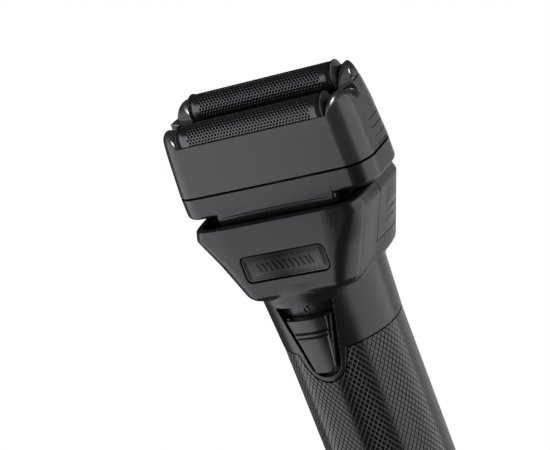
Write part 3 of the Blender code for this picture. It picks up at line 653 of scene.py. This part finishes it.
def cassette(x, y, z):
    absx = np.abs(x)
    heights, *columns = zip(*CASSETTE_OUTLINES)
    plan = head_plan(x, y, *(np.interp(z, heights, column) for column in columns)) * 0.99
    # across and out of the tilted head
    across = (y - HEAD_Y) * COS_TILT + (z - HEAD_Z) * SIN_TILT
    outward = -(y - HEAD_Y) * SIN_TILT + (z - HEAD_Z) * COS_TILT
    crown = cassette_crown(y, z)
    # end lobes: every upper edge is generously rounded
    near = ease(outward, -2.2, 0.2)
    dome = np.where(y < 1.3, z - 153.2, z - 157.2)
    top_round = 0.8 + 1.9 * ease(absx, 26.0, 31.0) * ease(z, 148.0, 156.0)
    inner_round = 0.5 + np.where(y < 1.3, 3.4, 2.4) * ease(dome, -0.5, 3.5)
    lobes = meet(meet(plan, crown, top_round), 25.0 - absx - 5.0 * (1 - near), inner_round)
    # thin front and rear walls between the lobes
    rim = np.where(y < 0, z - 152.8, z - 158.4)
    walls = meet(meet(plan, crown, 0.6), rim, 0.25)
    walls = overlap(walls, absx - 25.6, -(plan + 0.55))
    body = union(lobes, walls, overlap(plan, outward + 7.0))
    # wedge-shaped fin in the valley
    fin_top = (z - (155.7 + 0.36 * (absx - 25.6))) * 0.94
    fin = meet(fin_top, 1.2 - y - 0.35 * (z - 155.0), 0.3)
    fin = meet(overlap(fin, 25.0 - absx, y - 9.5), plan + 0.05, 0.5)
    body = meet(join(body, fin, 0.25), 137.36 - z, 0.08)
    # opening for the foils and the hollow below it
    opening = overlap(absx - 24.95, -7.2 - outward, plan + 0.5)
    out = cut(body, overlap(opening, across - 12.1, -11.75 - across))
    out = cut(out, overlap(plan + 1.7, z - (149.9 + 0.368 * y)))
    for line_z in GRIP_LINES:
        groove = overlap(slab(z, line_z, 0.10), -0.3 - y, y - 7.2)
        dot = disc(y + 0.45, z - line_z + 0.05, 0.26)
        out = cut(out, overlap(union(groove, dot), -(plan + 0.22), 26.0 - absx))
    return out


skin(
    "foil_cassette_shell",
    cassette,
    (
        mirrored((24.8, 0.62), (27.8, 0.2), (33.1, 0.27)),
        grid_lines(-13.2, (-9.6, 0.24), (-1.2, 0.4), (0.4, 0.14), (4.4, 0.28), (16.8, 0.4)),
        grid_lines(
            136.8, (138.4, 0.09), (140.1, 0.4), (140.7, 0.09), (142.8, 0.4), (143.4, 0.09),
            (145.4, 0.4), (146.0, 0.09), (151.6, 0.42), (162.4, 0.26),
        ),
    ),
    "cassette",
    "head",
    "foil_cassette",
)


# ------------------------------------------------------------------ power slider
def slider(x, y, z):
    absx = np.abs(x)
    radial = np.sqrt(x * x + y * y)
    # base plate with a raised rail round its edge
    plate_side = (absx - (5.0 + 0.25 * (z - 85.4))) * 0.97
    plate = meet(meet(plate_side, 77.2 - z, 3.0), z - 96.1, 0.3)
    base = meet(meet(plate, radial - 18.7, 0.15), 17.6 - radial, 0.05)
    rail = meet(meet(np.abs(plate_side + 0.30) - 0.27, z - 95.7, 0.4), 77.6 - z, 0.3)
    rail = meet(meet(rail, radial - 19.35, 0.2), 17.7 - radial, 0.05)
    # upper and lower pads with a ledge between them
    upper_side = (absx - (5.55 + 0.17 * (z - 91.0))) * 0.985
    upper_face = radial - 19.95 - 0.05 * (z - 92.0)
    upper = meet(meet(upper_side, slab(z, 93.9, 2.15), 0.3), upper_face, 0.3)
    ledge = meet(meet(absx - 5.5, slab(z, 90.95, 0.55), 0.25), radial - 20.55, 0.3)
    lower_side = (absx - (3.55 + 0.155 * (z - 78.6))) * 0.988
    lower = meet(meet(lower_side, z - 90.15, 0.3), 77.7 - z, 2.6)
    lower = meet(lower, radial - (20.05 + 0.05 * (z - 80.0)), 0.75)
    pads = overlap(union(upper, ledge, lower), 18.2 - radial)
    neck = meet(lower_side, slab(z, 87.0, 9.0), 0.5)
    neck = overlap(neck, radial - 19.5, 18.0 - radial)
    stem = overlap(absx - 1.27, slab(z, 87.3, 2.25), y + 15.85, -18.4 - y)
    return union(overlap(union(base, rail, pads, neck), y), stem)


skin(
    "power_slider_pad",
    slider,
    (
        mirrored((3.0, 0.32), (8.3, 0.13)),
        grid_lines(-21.2, (-17.2, 0.14), (-15.4, 0.3)),
        grid_lines(76.6, (80.0, 0.18), (89.6, 0.3), (92.2, 0.11), (95.2, 0.25), (96.5, 0.14)),
    ),
    "slider",
    "slider",
    "power_slider",
)


# ------------------------------------------------------------------ release buttons
# z, how far the button's face stands proud of the shoulder
BUTTON_RISE = (
    (108.0, -0.05), (110.6, 0.0), (111.6, 0.05), (112.4, 0.22), (113.2, 0.22),
    (114.0, -0.08), (114.8, 0.26), (115.8, 0.3), (116.4, -0.05), (117.2, 0.06),
    (118.4, 0.42), (120.5, 0.42), (123.0, 0.2), (125.0, 0.0), (130.0, 0.0),
)
RISE_OFFSETS = (-0.28, -0.14, 0.0, 0.14, 0.28)  # the rise is averaged over these in z
BUTTON_GAP = 0.15


def smooth_rise(z):
    heights, rises = zip(*BUTTON_RISE)
    return sum(np.interp(z + offset, heights, rises) for offset in RISE_OFFSETS) / 5.0


def button_field(sign):
    """Button on the -X (sign -1) or +X (sign 1) side."""

    def field(x, y, z):
        fade = ease(y, 2.4, 6.5) * (1 - ease(y, 9.6, 11.7))
        walls = shoulder(x, y, z)
        face = walls - smooth_rise(z) * fade * 0.93
        outline = rounded_rect(y - BUTTON_Y, z - 118.62, WINDOW_HALF - BUTTON_GAP, 9.5, 0.4)
        body = meet(meet(face, outline, 0.12), z - 128.1, 0.1)
        body = cut(body, walls + 0.8 + 0.95 * ease(z, 110.0, 114.0))
        body = overlap(body, 17.0 - sign * x)
        stem = overlap(disc(y - BUTTON_Y, z - 115.0, 1.2), slab(sign * x, 21.0, 2.7))
        return union(body, stem)

    return field


for side, sign in (("left", -1), ("right", 1)):
    outwards = grid_lines(17.8, (30.6, 0.2))
    skin(
        "release_button_" + side + "_cap",
        button_field(sign),
        (
            outwards if sign > 0 else -outwards[::-1],
            grid_lines(-2.2, (-1.2, 0.14), (11.2, 0.32), (12.2, 0.14)),
            grid_lines(108.8, (110.0, 0.16), (119.5, 0.14), (127.6, 0.3), (128.4, 0.14)),
        ),
        side + "_button",
        "button",
        "release_button_" + side,
    )


# ------------------------------------------------------------------ end cap
def end_cap(x, y, z):
    radial = np.sqrt(x * x + y * y)
    out = overlap(meet(radial - BARREL_RADIUS, -z, 1.1), z - 10.0)
    out = union(out, overlap(radial - 17.3, z - 14.0, -z))  # skirt
    out = cut(out, overlap(slab(z, 8.9, 0.22), 18.65 - radial))  # groove round the rim
    hollow = overlap(radial - 15.7, 3.0 - z)
    socket = radial - 4.2
    out = cut(out, union(hollow, socket))
    for screw_x in (-10.5, 10.5):
        head = overlap(disc(x - screw_x, y, 2.9), z - 1.45)
        out = cut(out, union(head, disc(x - screw_x, y, 1.6)), 0.12)
    out = cut(out, overlap(disc(x, z - 5.6, 1.4), y), 0.1)  # charge light
    foot_ring = overlap(slab(radial, 13.9, 0.18), z - 0.3)
    return np.where(z < 0.4, cut(out, foot_ring), out)


skin(
    "end_cap_shell",
    end_cap,
    (
        mirrored((6.0, 0.3), (19.5, 0.4)),
        grid_lines(-19.5, (-16.5, 0.25), (19.5, 0.45)),
        grid_lines(-0.3, (1.7, 0.16), (3.6, 0.4), (8.2, 0.35), (9.5, 0.13), (14.3, 0.5)),
    ),
    "handle",
    "cap",
    "end_cap",
)


# ------------------------------------------------------------------ knurled sleeve
KNURLS_AROUND, KNURL_ROWS = 70, 30
SLEEVE_FOOT, SLEEVE_TOP = 10.3, 83.9
KNURL_BEVEL = 0.115  # bevel of a knurl as a part of its width
GROOVE_RADIUS, SLEEVE_INNER = 18.895, 17.6
NOTCH_GAP = 0.46
NOTCH_SPLITS = 7  # facets by the notch are split this many times each way


def sleeve():
    """Diamond knurls on a tube; turn counts knurls round from the front, row counts upwards."""
    store, points, quads = {}, [], []

    def height(row):
        return SLEEVE_FOOT + row * ((SLEEVE_TOP - SLEEVE_FOOT) / KNURL_ROWS)

    def vert(turn, row, radius):
        key = (round((turn % KNURLS_AROUND) * 900), round(row * 900), round(radius * 1000))
        if key not in store:
            angle = 2 * math.pi * turn / KNURLS_AROUND
            store[key] = len(points)
            points.append((radius * math.sin(angle), -radius * math.cos(angle), height(row)))
        return store[key]

    def gap(turn, row):
        """Distance from the tongue, or a large one away from the front."""
        angle = 2 * math.pi * ((turn / KNURLS_AROUND + 0.5) % 1.0 - 0.5)
        if abs(angle) > 0.7:
            return 9.0
        return float(tongue_outline(BARREL_RADIUS * math.sin(angle), height(row)))

    def patch(p00, p10, p11, p01):
        """One facet; near the notch it is split so that it follows the outline."""
        corners = (p00, p10, p11, p01)
        if min(gap(turn, row) for turn, row, _ in corners) > NOTCH_GAP + 0.05:
            quads.append([vert(*corner) for corner in corners])
            return
        count = NOTCH_SPLITS
        grid = np.empty((count + 1, count + 1, 3))
        for m, k in product(range(count + 1), repeat=2):
            f, g = m / count, k / count
            grid[m, k] = [
                (1 - f) * ((1 - g) * p00[c] + g * p01[c]) + f * ((1 - g) * p10[c] + g * p11[c])
                for c in range(3)
            ]
        for m, k in product(range(count), repeat=2):
            four = [grid[m, k], grid[m + 1, k], grid[m + 1, k + 1], grid[m, k + 1]]
            mid = sum(four) / 4
            if gap(mid[0], mid[1]) > NOTCH_GAP:
                quads.append([vert(*corner) for corner in four])

    def knurl(turn, row):
        """Flat diamond with four bevels, cut short at the sleeve's ends."""
        corners = [(turn, row - 0.5), (turn + 0.5, row), (turn, row + 0.5), (turn - 0.5, row)]
        corners = [(a, min(max(b, 0.0), KNURL_ROWS)) for a, b in corners]
        shrink = 1 - 2 * KNURL_BEVEL
        low = [(a, b, GROOVE_RADIUS) for a, b in corners]
        high = [
            (turn + (a - turn) * shrink, row + (b - row) * shrink, BARREL_RADIUS)
            for a, b in corners
        ]
        patch(*high)
        for k in range(4):
            m = (k + 1) % 4
            if max(abs(low[k][0] - low[m][0]), abs(low[k][1] - low[m][1])) >= 1e-6:
                patch(low[k], low[m], high[m], high[k])

    for j in range(-1, 2 * KNURL_ROWS):
        for i in range(KNURLS_AROUND):
            knurl(i + (0.5 if j % 2 else 0.0), j / 2 + 0.5)

    # rims at both ends
    rim = BARREL_RADIUS - 0.12
    for row, order in ((0, -1), (KNURL_ROWS, 1)):
        for i in range(2 * KNURLS_AROUND):
            a, b = i / 2, i / 2 + 0.5
            if row == KNURL_ROWS and min(gap(a, row), gap(b, row)) < NOTCH_GAP:
                continue
            spots = ((a, rim), (b, rim), (b, SLEEVE_INNER), (a, SLEEVE_INNER))
            quads.append([vert(turn, row, radius) for turn, radius in spots][::order])

    # wall of the notch, found by bisection along rays from a point inside the tongue
    start_z = 82.5
    columns = []
    for k in range(61):
        ray = math.pi * (k / 60) - math.pi / 2
        way_x, way_z = math.sin(ray), -math.cos(ray)
        near, far = 0.0, 14.0
        for _ in range(40):
            mid = (near + far) / 2
            if float(tongue_outline(way_x * mid, start_z + way_z * mid)) < NOTCH_GAP:
                near = mid
            else:
                far = mid
        angle = math.asin(way_x * near / BARREL_RADIUS)
        z = min(start_z + way_z * near, SLEEVE_TOP)
        columns.append((len(points), len(points) + 1))
        for radius in (BARREL_RADIUS - 0.04, SLEEVE_INNER):
            points.append((radius * math.sin(angle), -radius * math.cos(angle), z))
    for this, after in zip(columns, columns[1:]):
        quads.append([this[0], after[0], after[1], this[1]])
    return mesh_of("grip_sleeve_knurl", points, [np.array(quads)], flat=True)


piece("grip_sleeve_knurl", sleeve(), "handle", "grip", "grip_sleeve")


# ------------------------------------------------------------------ badge plate
BADGE_GAP = 0.25
BADGE_HALF_X, BADGE_HALF_Z, BADGE_CORNER = (size - BADGE_GAP for size in POCKET)
BADGE_FACE_Y, BADGE_BACK_Y = -18.82, -18.15
BORDER_LINES = ((0.72, 0.12), (1.14, 0.13), (1.56, 0.12))  # distance from the edge, depth
BAR_PITCH, BAR_HALF = 1.8, 0.52


def badge_height(x, z):
    """Relief: a stepped border and a row of slanted bars."""
    depth_in = -rounded_rect(x, z, BADGE_HALF_X, BADGE_HALF_Z, BADGE_CORNER)
    height = 0.20 * ease(depth_in, 0.0, 0.25)
    for at, deep in BORDER_LINES:
        height = height - deep * (1 - np.clip(np.abs(depth_in - at) / 0.13, 0, 1))
    slanted = x + 0.35 * z
    from_bar = np.abs((slanted + BAR_PITCH / 2) % BAR_PITCH - BAR_PITCH / 2)
    bar = meet(from_bar - BAR_HALF, np.abs(z) - 1.3, 0.15)
    bar = overlap(bar, np.abs(slanted) - 8.9)
    return height + 0.2 * (1 - ease(bar, -0.11, 0.05))


def badge():
    across = mirrored((9.6, 0.075), (12.0, 0.16), (BADGE_HALF_X, 0.07))
    upward = mirrored((1.6, 0.08), (2.3, 0.12), (BADGE_HALF_Z, 0.07))
    X, Z = np.meshgrid(across, upward, indexing="ij")
    # squeeze the corners into the rounded outline
    flat_x, flat_z = BADGE_HALF_X - BADGE_CORNER, BADGE_HALF_Z - BADGE_CORNER
    past_x, past_z = np.abs(X) - flat_x, np.abs(Z) - flat_z
    in_corner = (past_x > 0) & (past_z > 0)
    length = np.sqrt(past_x * past_x + past_z * past_z)
    squeeze = np.where(in_corner, np.maximum(past_x, past_z) / np.maximum(length, 1e-6), 1.0)
    X = np.where(in_corner, np.sign(X) * (flat_x + past_x * squeeze), X)
    Z = np.where(in_corner, np.sign(Z) * (flat_z + past_z * squeeze), Z)
    relief = badge_height(X, Z)
    front = np.stack([X, BADGE_FACE_Y - relief, Z + BADGE_Z], -1).reshape(-1, 3)
    ids = np.arange(X.size).reshape(X.shape)
    face = np.stack([ids[:-1, :-1], ids[1:, :-1], ids[1:, 1:], ids[:-1, 1:]], -1).reshape(-1, 4)
    # side wall and back
    rim = np.concatenate([ids[:, 0], ids[-1, 1:], ids[-2::-1, -1], ids[0, -2:0:-1]])
    back = front[rim].copy()
    back[:, 1] = BADGE_BACK_Y
    base, count = len(front), len(rim)
    ring = np.arange(count)
    after = (ring + 1) % count
    wall = np.stack([rim[after], rim[ring], base + ring, base + after], 1)
    fan = np.stack([base + after, base + ring, np.full(count, base + count)], 1)
    points = np.concatenate([front, back, [[0.0, BADGE_BACK_Y, BADGE_Z]]])
    mesh = mesh_of("badge_plate_face", points, [face, wall, fan])
    mesh.set_sharp_from_angle(angle=math.radians(50))
    return mesh


piece("badge_plate_face", badge(), "handle", "badge", "badge_plate")


# ------------------------------------------------------------------ foils
FOIL_RADIUS, FOIL_HALF, FOIL_LEG = 4.4, 23.9, 3.0
BLANK_X = 22.2  # line that divides the blank bands at the ends
CELL_ROWS, CELL_COLS, CELL_PITCH = 15, 39, 1.05
HOLE_RADIUS = 0.30
ROW_HEIGHT = math.pi * FOIL_RADIUS / CELL_ROWS
FOIL_ARC = CELL_ROWS * ROW_HEIGHT
# a cell's flank corners and its tips, above and below its centre
FLANK, TIP = ROW_HEIGHT * 0.5 * 0.62, ROW_HEIGHT * 0.5 * 1.38


def place(points, centre):
    """From a foil's own frame (Z out of the head) to the row frame."""
    local = np.asarray(points, float)
    out = local.copy()
    out[:, 1] = centre[0] + local[:, 1] * COS_TILT - local[:, 2] * SIN_TILT
    out[:, 2] = centre[1] + local[:, 1] * SIN_TILT + local[:, 2] * COS_TILT
    return out


def foil_sheet():
    """Foil laid flat: staggered hexagonal cells, each with a hole, and plain borders.

    Returns (u, v) points, u along X and v round the arch, and quads.
    """
    flat, index, faces = [], {}, []
    half_pitch = CELL_PITCH / 2
    x_start = -(CELL_COLS - 1) * CELL_PITCH / 2 - CELL_PITCH / 4

    def vert(u, v):
        key = (round(u * 2000), round(v * 2000))
        if key not in index:
            index[key] = len(flat)
            flat.append((u, v))
        return index[key]

    def row_place(j):
        """Height of a row's centres and its stagger."""
        return (j + 0.5) * ROW_HEIGHT, half_pitch if j % 2 else 0.0

    def cell(u, v, hole_radius):
        corners = [
            (u + half_pitch, v - FLANK), (u + half_pitch, v + FLANK), (u, v + TIP),
            (u - half_pitch, v + FLANK), (u - half_pitch, v - FLANK), (u, v - TIP),
        ]
        ring, hole = [], []
        for a, b in zip(corners, corners[1:] + corners[:1]):
            ring.append(vert(*a))
            ring.append(vert((a[0] + b[0]) / 2, (a[1] + b[1]) / 2))
        for k in ring:
            angle = math.atan2(flat[k][1] - v, flat[k][0] - u)
            hole.append(vert(u + hole_radius * math.cos(angle), v + hole_radius * math.sin(angle)))
        for k in range(12):
            m = (k + 1) % 12
            faces.append((ring[k], ring[m], hole[m], hole[k]))

    for j in range(CELL_ROWS):
        v, stagger = row_place(j)
        for i in range(CELL_COLS):
            grow = 1.0 if (i * 7 + j * 3) % 5 else 1.08
            cell(x_start + i * CELL_PITCH + stagger, v, HOLE_RADIUS * grow)

    # blank bands: from the zigzag edge of the pattern to each end of the foil
    for sign in (-1, 1):
        chain = []
        for j in range(CELL_ROWS):
            v, stagger = row_place(j)
            if sign < 0:
                edge = x_start + stagger - half_pitch
            else:
                edge = x_start + (CELL_COLS - 1) * CELL_PITCH + stagger + half_pitch
            chain += [(edge, v - FLANK), (edge, v), (edge, v + FLANK)]
        for a, b in zip(chain, chain[1:]):
            ids = [vert(*a), vert(*b)]
            for end_u in (sign * BLANK_X, sign * FOIL_HALF):
                after = [vert(end_u, a[1]), vert(end_u, b[1])]
                faces.append((ids[0], ids[1], after[1], after[0]))
                ids = after

    # strips that close the zigzag along the two long edges, then the straight legs
    for j, edge_v, sign in ((0, 0.0, -1), (CELL_ROWS - 1, FOIL_ARC, 1)):
        v, stagger = row_place(j)
        flank, tip = v + sign * FLANK, v + sign * TIP
        slope = v + sign * ROW_HEIGHT * 0.5
        chain = [(-FOIL_HALF, flank), (-BLANK_X, flank), (x_start + stagger - half_pitch, flank)]
        for i in range(CELL_COLS):
            u = x_start + i * CELL_PITCH + stagger
            chain += [(u - CELL_PITCH / 4, slope), (u, tip)]
            chain += [(u + CELL_PITCH / 4, slope), (u + half_pitch, flank)]
        chain += [(BLANK_X, flank), (FOIL_HALF, flank)]
        for a, b in zip(chain, chain[1:]):
            ids = [vert(*a), vert(*b)]
            for end_v in (edge_v + sign * 0.25, edge_v + sign * FOIL_LEG):
                after = [vert(a[0], end_v), vert(b[0], end_v)]
                faces.append((ids[0], after[0], after[1], ids[1]))
                ids = after
    return np.array(flat), np.array(faces)


def foil_screen(label, centre):
    """Perforated arch with straight legs."""
    flat, faces = foil_sheet()
    u, v = flat.T
    angle = np.clip(v, 0.0, FOIL_ARC) / FOIL_RADIUS
    leg = np.minimum(v, 0.0) + np.minimum(FOIL_ARC - v, 0.0)
    normals = np.stack([0.0 * u, np.cos(angle), np.sin(angle)], 1)
    points = normals * FOIL_RADIUS + np.stack([u, 0.0 * u, leg], 1)
    # make every face point outwards
    first, second, third = (points[faces[:, k]] for k in range(3))
    facing = (np.cross(second - first, third - first) * normals[faces[:, 0]]).sum(1)
    faces[facing < 0] = faces[facing < 0][:, ::-1]
    name = label + "_foil_screen"
    mesh = mesh_of(name, place(points, centre), [faces])
    obj = piece(name, mesh, label + "_shaving_foil", "foil", label + "_foil")
    solid = obj.modifiers.new("thickness", "SOLIDIFY")
    solid.thickness = 0.00014
    solid.offset = -1.0
    solid.use_even_offset = False


# x and radius of the end plate's section, from its inner face to its outer one
PLATE_SECTION = (
    (23.95, 0.0), (23.95, 4.35), (23.99, 4.55), (24.08, 4.68), (24.22, 4.74), (24.36, 4.68),
    (24.45, 4.55), (24.49, 4.35), (24.49, 3.95), (24.62, 3.9), (24.66, 3.8), (24.66, 0.0),
)
# distance from the foil's middle and height of the rail's section, in the foil's frame
RAIL_SECTION = ((4.3, -4.9), (4.62, -4.9), (4.72, -4.8), (4.72, -3.4), (4.62, -3.3), (4.3, -3.3))
RAIL_HALF = 24.4
ARCH_STEPS = 40


def foil_frame(label, centre):
    """End plates that follow the arch, with a rounded rim, joined by two rails."""
    points, quads, rail_ends = [], [], []
    # y and z multipliers of the section's radius, and a drop in z
    arch = [math.pi * k / ARCH_STEPS for k in range(ARCH_STEPS + 1)]
    path = [(-1.0, 0.0, -5.0), (-1.0, 0.0, -2.5)]
    path += [(-math.cos(angle), math.sin(angle), 0.0) for angle in arch]
    path += [(1.0, 0.0, -2.5), (1.0, 0.0, -5.0)]
    size = len(PLATE_SECTION)
    for sign in (-1, 1):
        first = len(points)
        last = first + (len(path) - 1) * size
        for out_y, out_z, drop in path:
            for x, radius in PLATE_SECTION:
                points.append((sign * x, out_y * radius, out_z * radius + drop))
        for start in range(first, last, size):
            for k in range(start, start + size - 1):
                quads.append((k, k + 1, k + size + 1, k + size)[::sign])
        for k in range(size - 1):
            quads.append((first + k, last + k, last + k + 1, first + k + 1)[::-sign])
    for sign in (-1, 1):
        base = len(points)
        for x in (-RAIL_HALF, RAIL_HALF):
            points += [(x, sign * y, z) for y, z in RAIL_SECTION]
        for k in range(6):
            m = (k + 1) % 6
            quads.append((base + k, base + m, base + 6 + m, base + 6 + k)[::sign])
        ends = [(base, *range(base + 5, base, -1)), tuple(range(base + 6, base + 12))]
        rail_ends += [end[::sign] for end in ends]
    groups = [np.array(quads), np.array(rail_ends)]
    mesh = mesh_of(label + "_frame", place(points, centre), groups)
    mesh.set_sharp_from_angle(angle=math.radians(40))
    body, replaced = label + "_shaving_foil", label + "_foil_carrier"
    piece(label + "_foil_frame", mesh, body, "endplate", replaced)


# ------------------------------------------------------------------ cutters
BLADE_COUNT, BLADE_THICK, BLADE_RADIUS = 33, 0.5, 3.86
CUTTER_HALF = 21.6
BLADE_PITCH = (2 * CUTTER_HALF - BLADE_THICK) / (BLADE_COUNT - 1)
SPINE_RADIUS, SPINE_SQUASH = 2.7, 0.9
BLADE_STEPS = 12


def cutter(label, centre):
    """Thin arched blades on a low spine."""
    # x, radius and squash of each section, two for a blade and two for the spine after it
    stations = []
    for k in range(BLADE_COUNT):
        x = -CUTTER_HALF + k * BLADE_PITCH
        stations += [(x, BLADE_RADIUS, 1.0), (x + BLADE_THICK, BLADE_RADIUS, 1.0)]
        for spine_x in (x + BLADE_THICK + 0.01, x + BLADE_PITCH - 0.01):
            stations.append((spine_x, SPINE_RADIUS, SPINE_SQUASH))
    points, rings = [], []
    for x, radius, squash in stations[:-2]:
        start = len(points)
        for k in range(BLADE_STEPS + 1):
            angle = math.pi * k / BLADE_STEPS
            points.append((x, radius * math.cos(angle), radius * math.sin(angle) * squash))
        points += [(x, -2.6, -4.6), (x, 2.6, -4.6)]
        rings.append(list(range(start, len(points))))
    faces = []
    for ring, after in zip(rings, rings[1:]):
        for m in range(len(ring)):
            n = (m + 1) % len(ring)
            faces.append((ring[m], ring[n], after[n], after[m]))
    groups = [np.array(faces), np.array([rings[0][::-1]]), np.array([rings[-1]])]
    body, replaced = label + "_blades", label + "_cutter"
    mesh = mesh_of(body, place(points, centre), groups, flat=True)
    piece(label + "_blade_block", mesh, body, "blade", replaced)


for build in (foil_screen, foil_frame, cutter):
    for label, centre in FOIL_CENTRES.items():
        build(label, centre)


# ------------------------------------------------------------------ stage
def floor():
    """White paper that only the camera sees, with a painted contact shadow darkening it round the
    shaver's foot.
    """
    half, z = 30.0, -0.0002
    mesh = bpy.data.meshes.new("studio_floor")
    corners = [(-half, -half, z), (half, -half, z), (half, half, z), (-half, half, z)]
    mesh.from_pydata(corners, [], [(0, 1, 2, 3)])
    obj = bpy.data.objects.new("studio_floor", mesh)
    scene.collection.objects.link(obj)
    mat = bpy.data.materials.new("floor_paper")
    mat.use_nodes = True
    tree = mat.node_tree
    tree.nodes.clear()
    coords = add_node(tree, "TexCoord").outputs["Object"]
    length = add_node(tree, "VectorMath", {0: coords}, operation="LENGTH").outputs["Value"]
    # painted contact shadow: the floor's glow dims towards the shaver's foot
    fade = map_range(
        tree, length, source=(0.012, 0.052), target=(0.35, 1.0),
        interpolation_type="SMOOTHERSTEP",
    )
    glow_with_painted_shadow = add_node(tree, "Emission", {"Strength": fade}).outputs["Emission"]
    add_node(tree, "OutputMaterial", {"Surface": glow_with_painted_shadow})
    mesh.materials.append(mat)
    obj.visible_diffuse = False
    obj.visible_glossy = False
    obj.visible_transmission = False
    obj.visible_shadow = False


def backdrop():
    """World that is white to the camera and dim to everything else."""
    world = bpy.data.worlds.new("studio") if scene.world is None else scene.world
    scene.world = world
    world.use_nodes = True
    tree = world.node_tree
    tree.nodes.clear()
    dim = add_node(tree, "Background", {"Color": (0.05, 0.051, 0.055, 1)})
    white = add_node(tree, "Background", {"Color": (1, 1, 1, 1)})
    mix = add_node(tree, "MixShader", {
        "Fac": add_node(tree, "LightPath").outputs["Is Camera Ray"],
        1: dim.outputs["Background"],
        2: white.outputs["Background"],
    })
    add_node(tree, "OutputWorld", {"Surface": mix.outputs["Shader"]})


floor()
backdrop()

AIM = Vector((0.0, 0.0, 0.12))


def softbox(name, azimuth, elevation, width, height, radiance, distance=1.2, tone=(1.0, 1.0, 1.0)):
    """Area light aimed at the shaver; azimuth 0 is the front, +90 the +X side."""
    turn, lift = math.radians(azimuth), math.radians(elevation)
    way = Vector((
        math.sin(turn) * math.cos(lift), -math.cos(turn) * math.cos(lift), math.sin(lift)
    ))
    data = bpy.data.lights.new(name, "AREA")
    data.shape = "RECTANGLE"
    data.size, data.size_y = width, height
    data.energy = radiance * math.pi * width * height
    data.color = tone
    obj = bpy.data.objects.new(name, data)
    scene.collection.objects.link(obj)
    obj.location = AIM + way * distance
    obj.rotation_mode = "QUATERNION"
    obj.rotation_quaternion = (-way).to_track_quat("-Z", "Y")
    obj.visible_camera = False
    return obj


softbox(
    "left_softbox", azimuth=-56, elevation=-6, width=1.72, height=2.3, radiance=1.95,
    tone=(0.95, 0.965, 1.0),
)
softbox("right_softbox", azimuth=96, elevation=-10, width=2.0, height=2.5, radiance=1.9)
# lights the cassette alone
lobe_light = softbox(
    "lobe_softbox", azimuth=14, elevation=58, distance=1.3, width=0.6, height=0.55, radiance=40.0
)
lobe_lit = bpy.data.collections.new("lobe_lit")
lobe_light.light_linking.receiver_collection = lobe_lit
lobe_lit.objects.link(bpy.data.objects["foil_cassette_shell"])
softbox("back_card", azimuth=168, elevation=-26, width=1.5, height=1.6, radiance=0.6)


# ------------------------------------------------------------------ camera
def camera(position, azimuth, elevation, roll):
    """Long lens, from azimuth degrees round to the right of the front."""
    data = bpy.data.cameras.new("view")
    data.lens = 114.27
    data.sensor_width = 36.0
    data.sensor_fit = "HORIZONTAL"
    data.clip_start, data.clip_end = 0.01, 100.0
    obj = bpy.data.objects.new("view", data)
    scene.collection.objects.link(obj)
    turn, lift, roll = (math.radians(angle) for angle in (azimuth, elevation, roll))
    right = Vector((math.cos(turn), math.sin(turn), 0.0))
    back = Vector((
        math.sin(turn) * math.cos(lift), -math.cos(turn) * math.cos(lift), math.sin(lift)
    ))
    level_up = back.cross(right)
    rolled_right = right * math.cos(roll) - level_up * math.sin(roll)
    rolled_up = right * math.sin(roll) + level_up * math.cos(roll)
    basis = Matrix((rolled_right, rolled_up, back)).transposed().to_4x4()
    basis.translation = Vector(position)
    obj.matrix_world = basis
    scene.camera = obj


camera(position=(0.242956, -0.431974, 0.279834), azimuth=30.3, elevation=17.75, roll=21.35)

scene.view_settings.view_transform = "Standard"
scene.view_settings.look = "None"
scene.view_settings.exposure = 0.0
scene.view_settings.gamma = 1.0

bpy.context.view_layer.update()
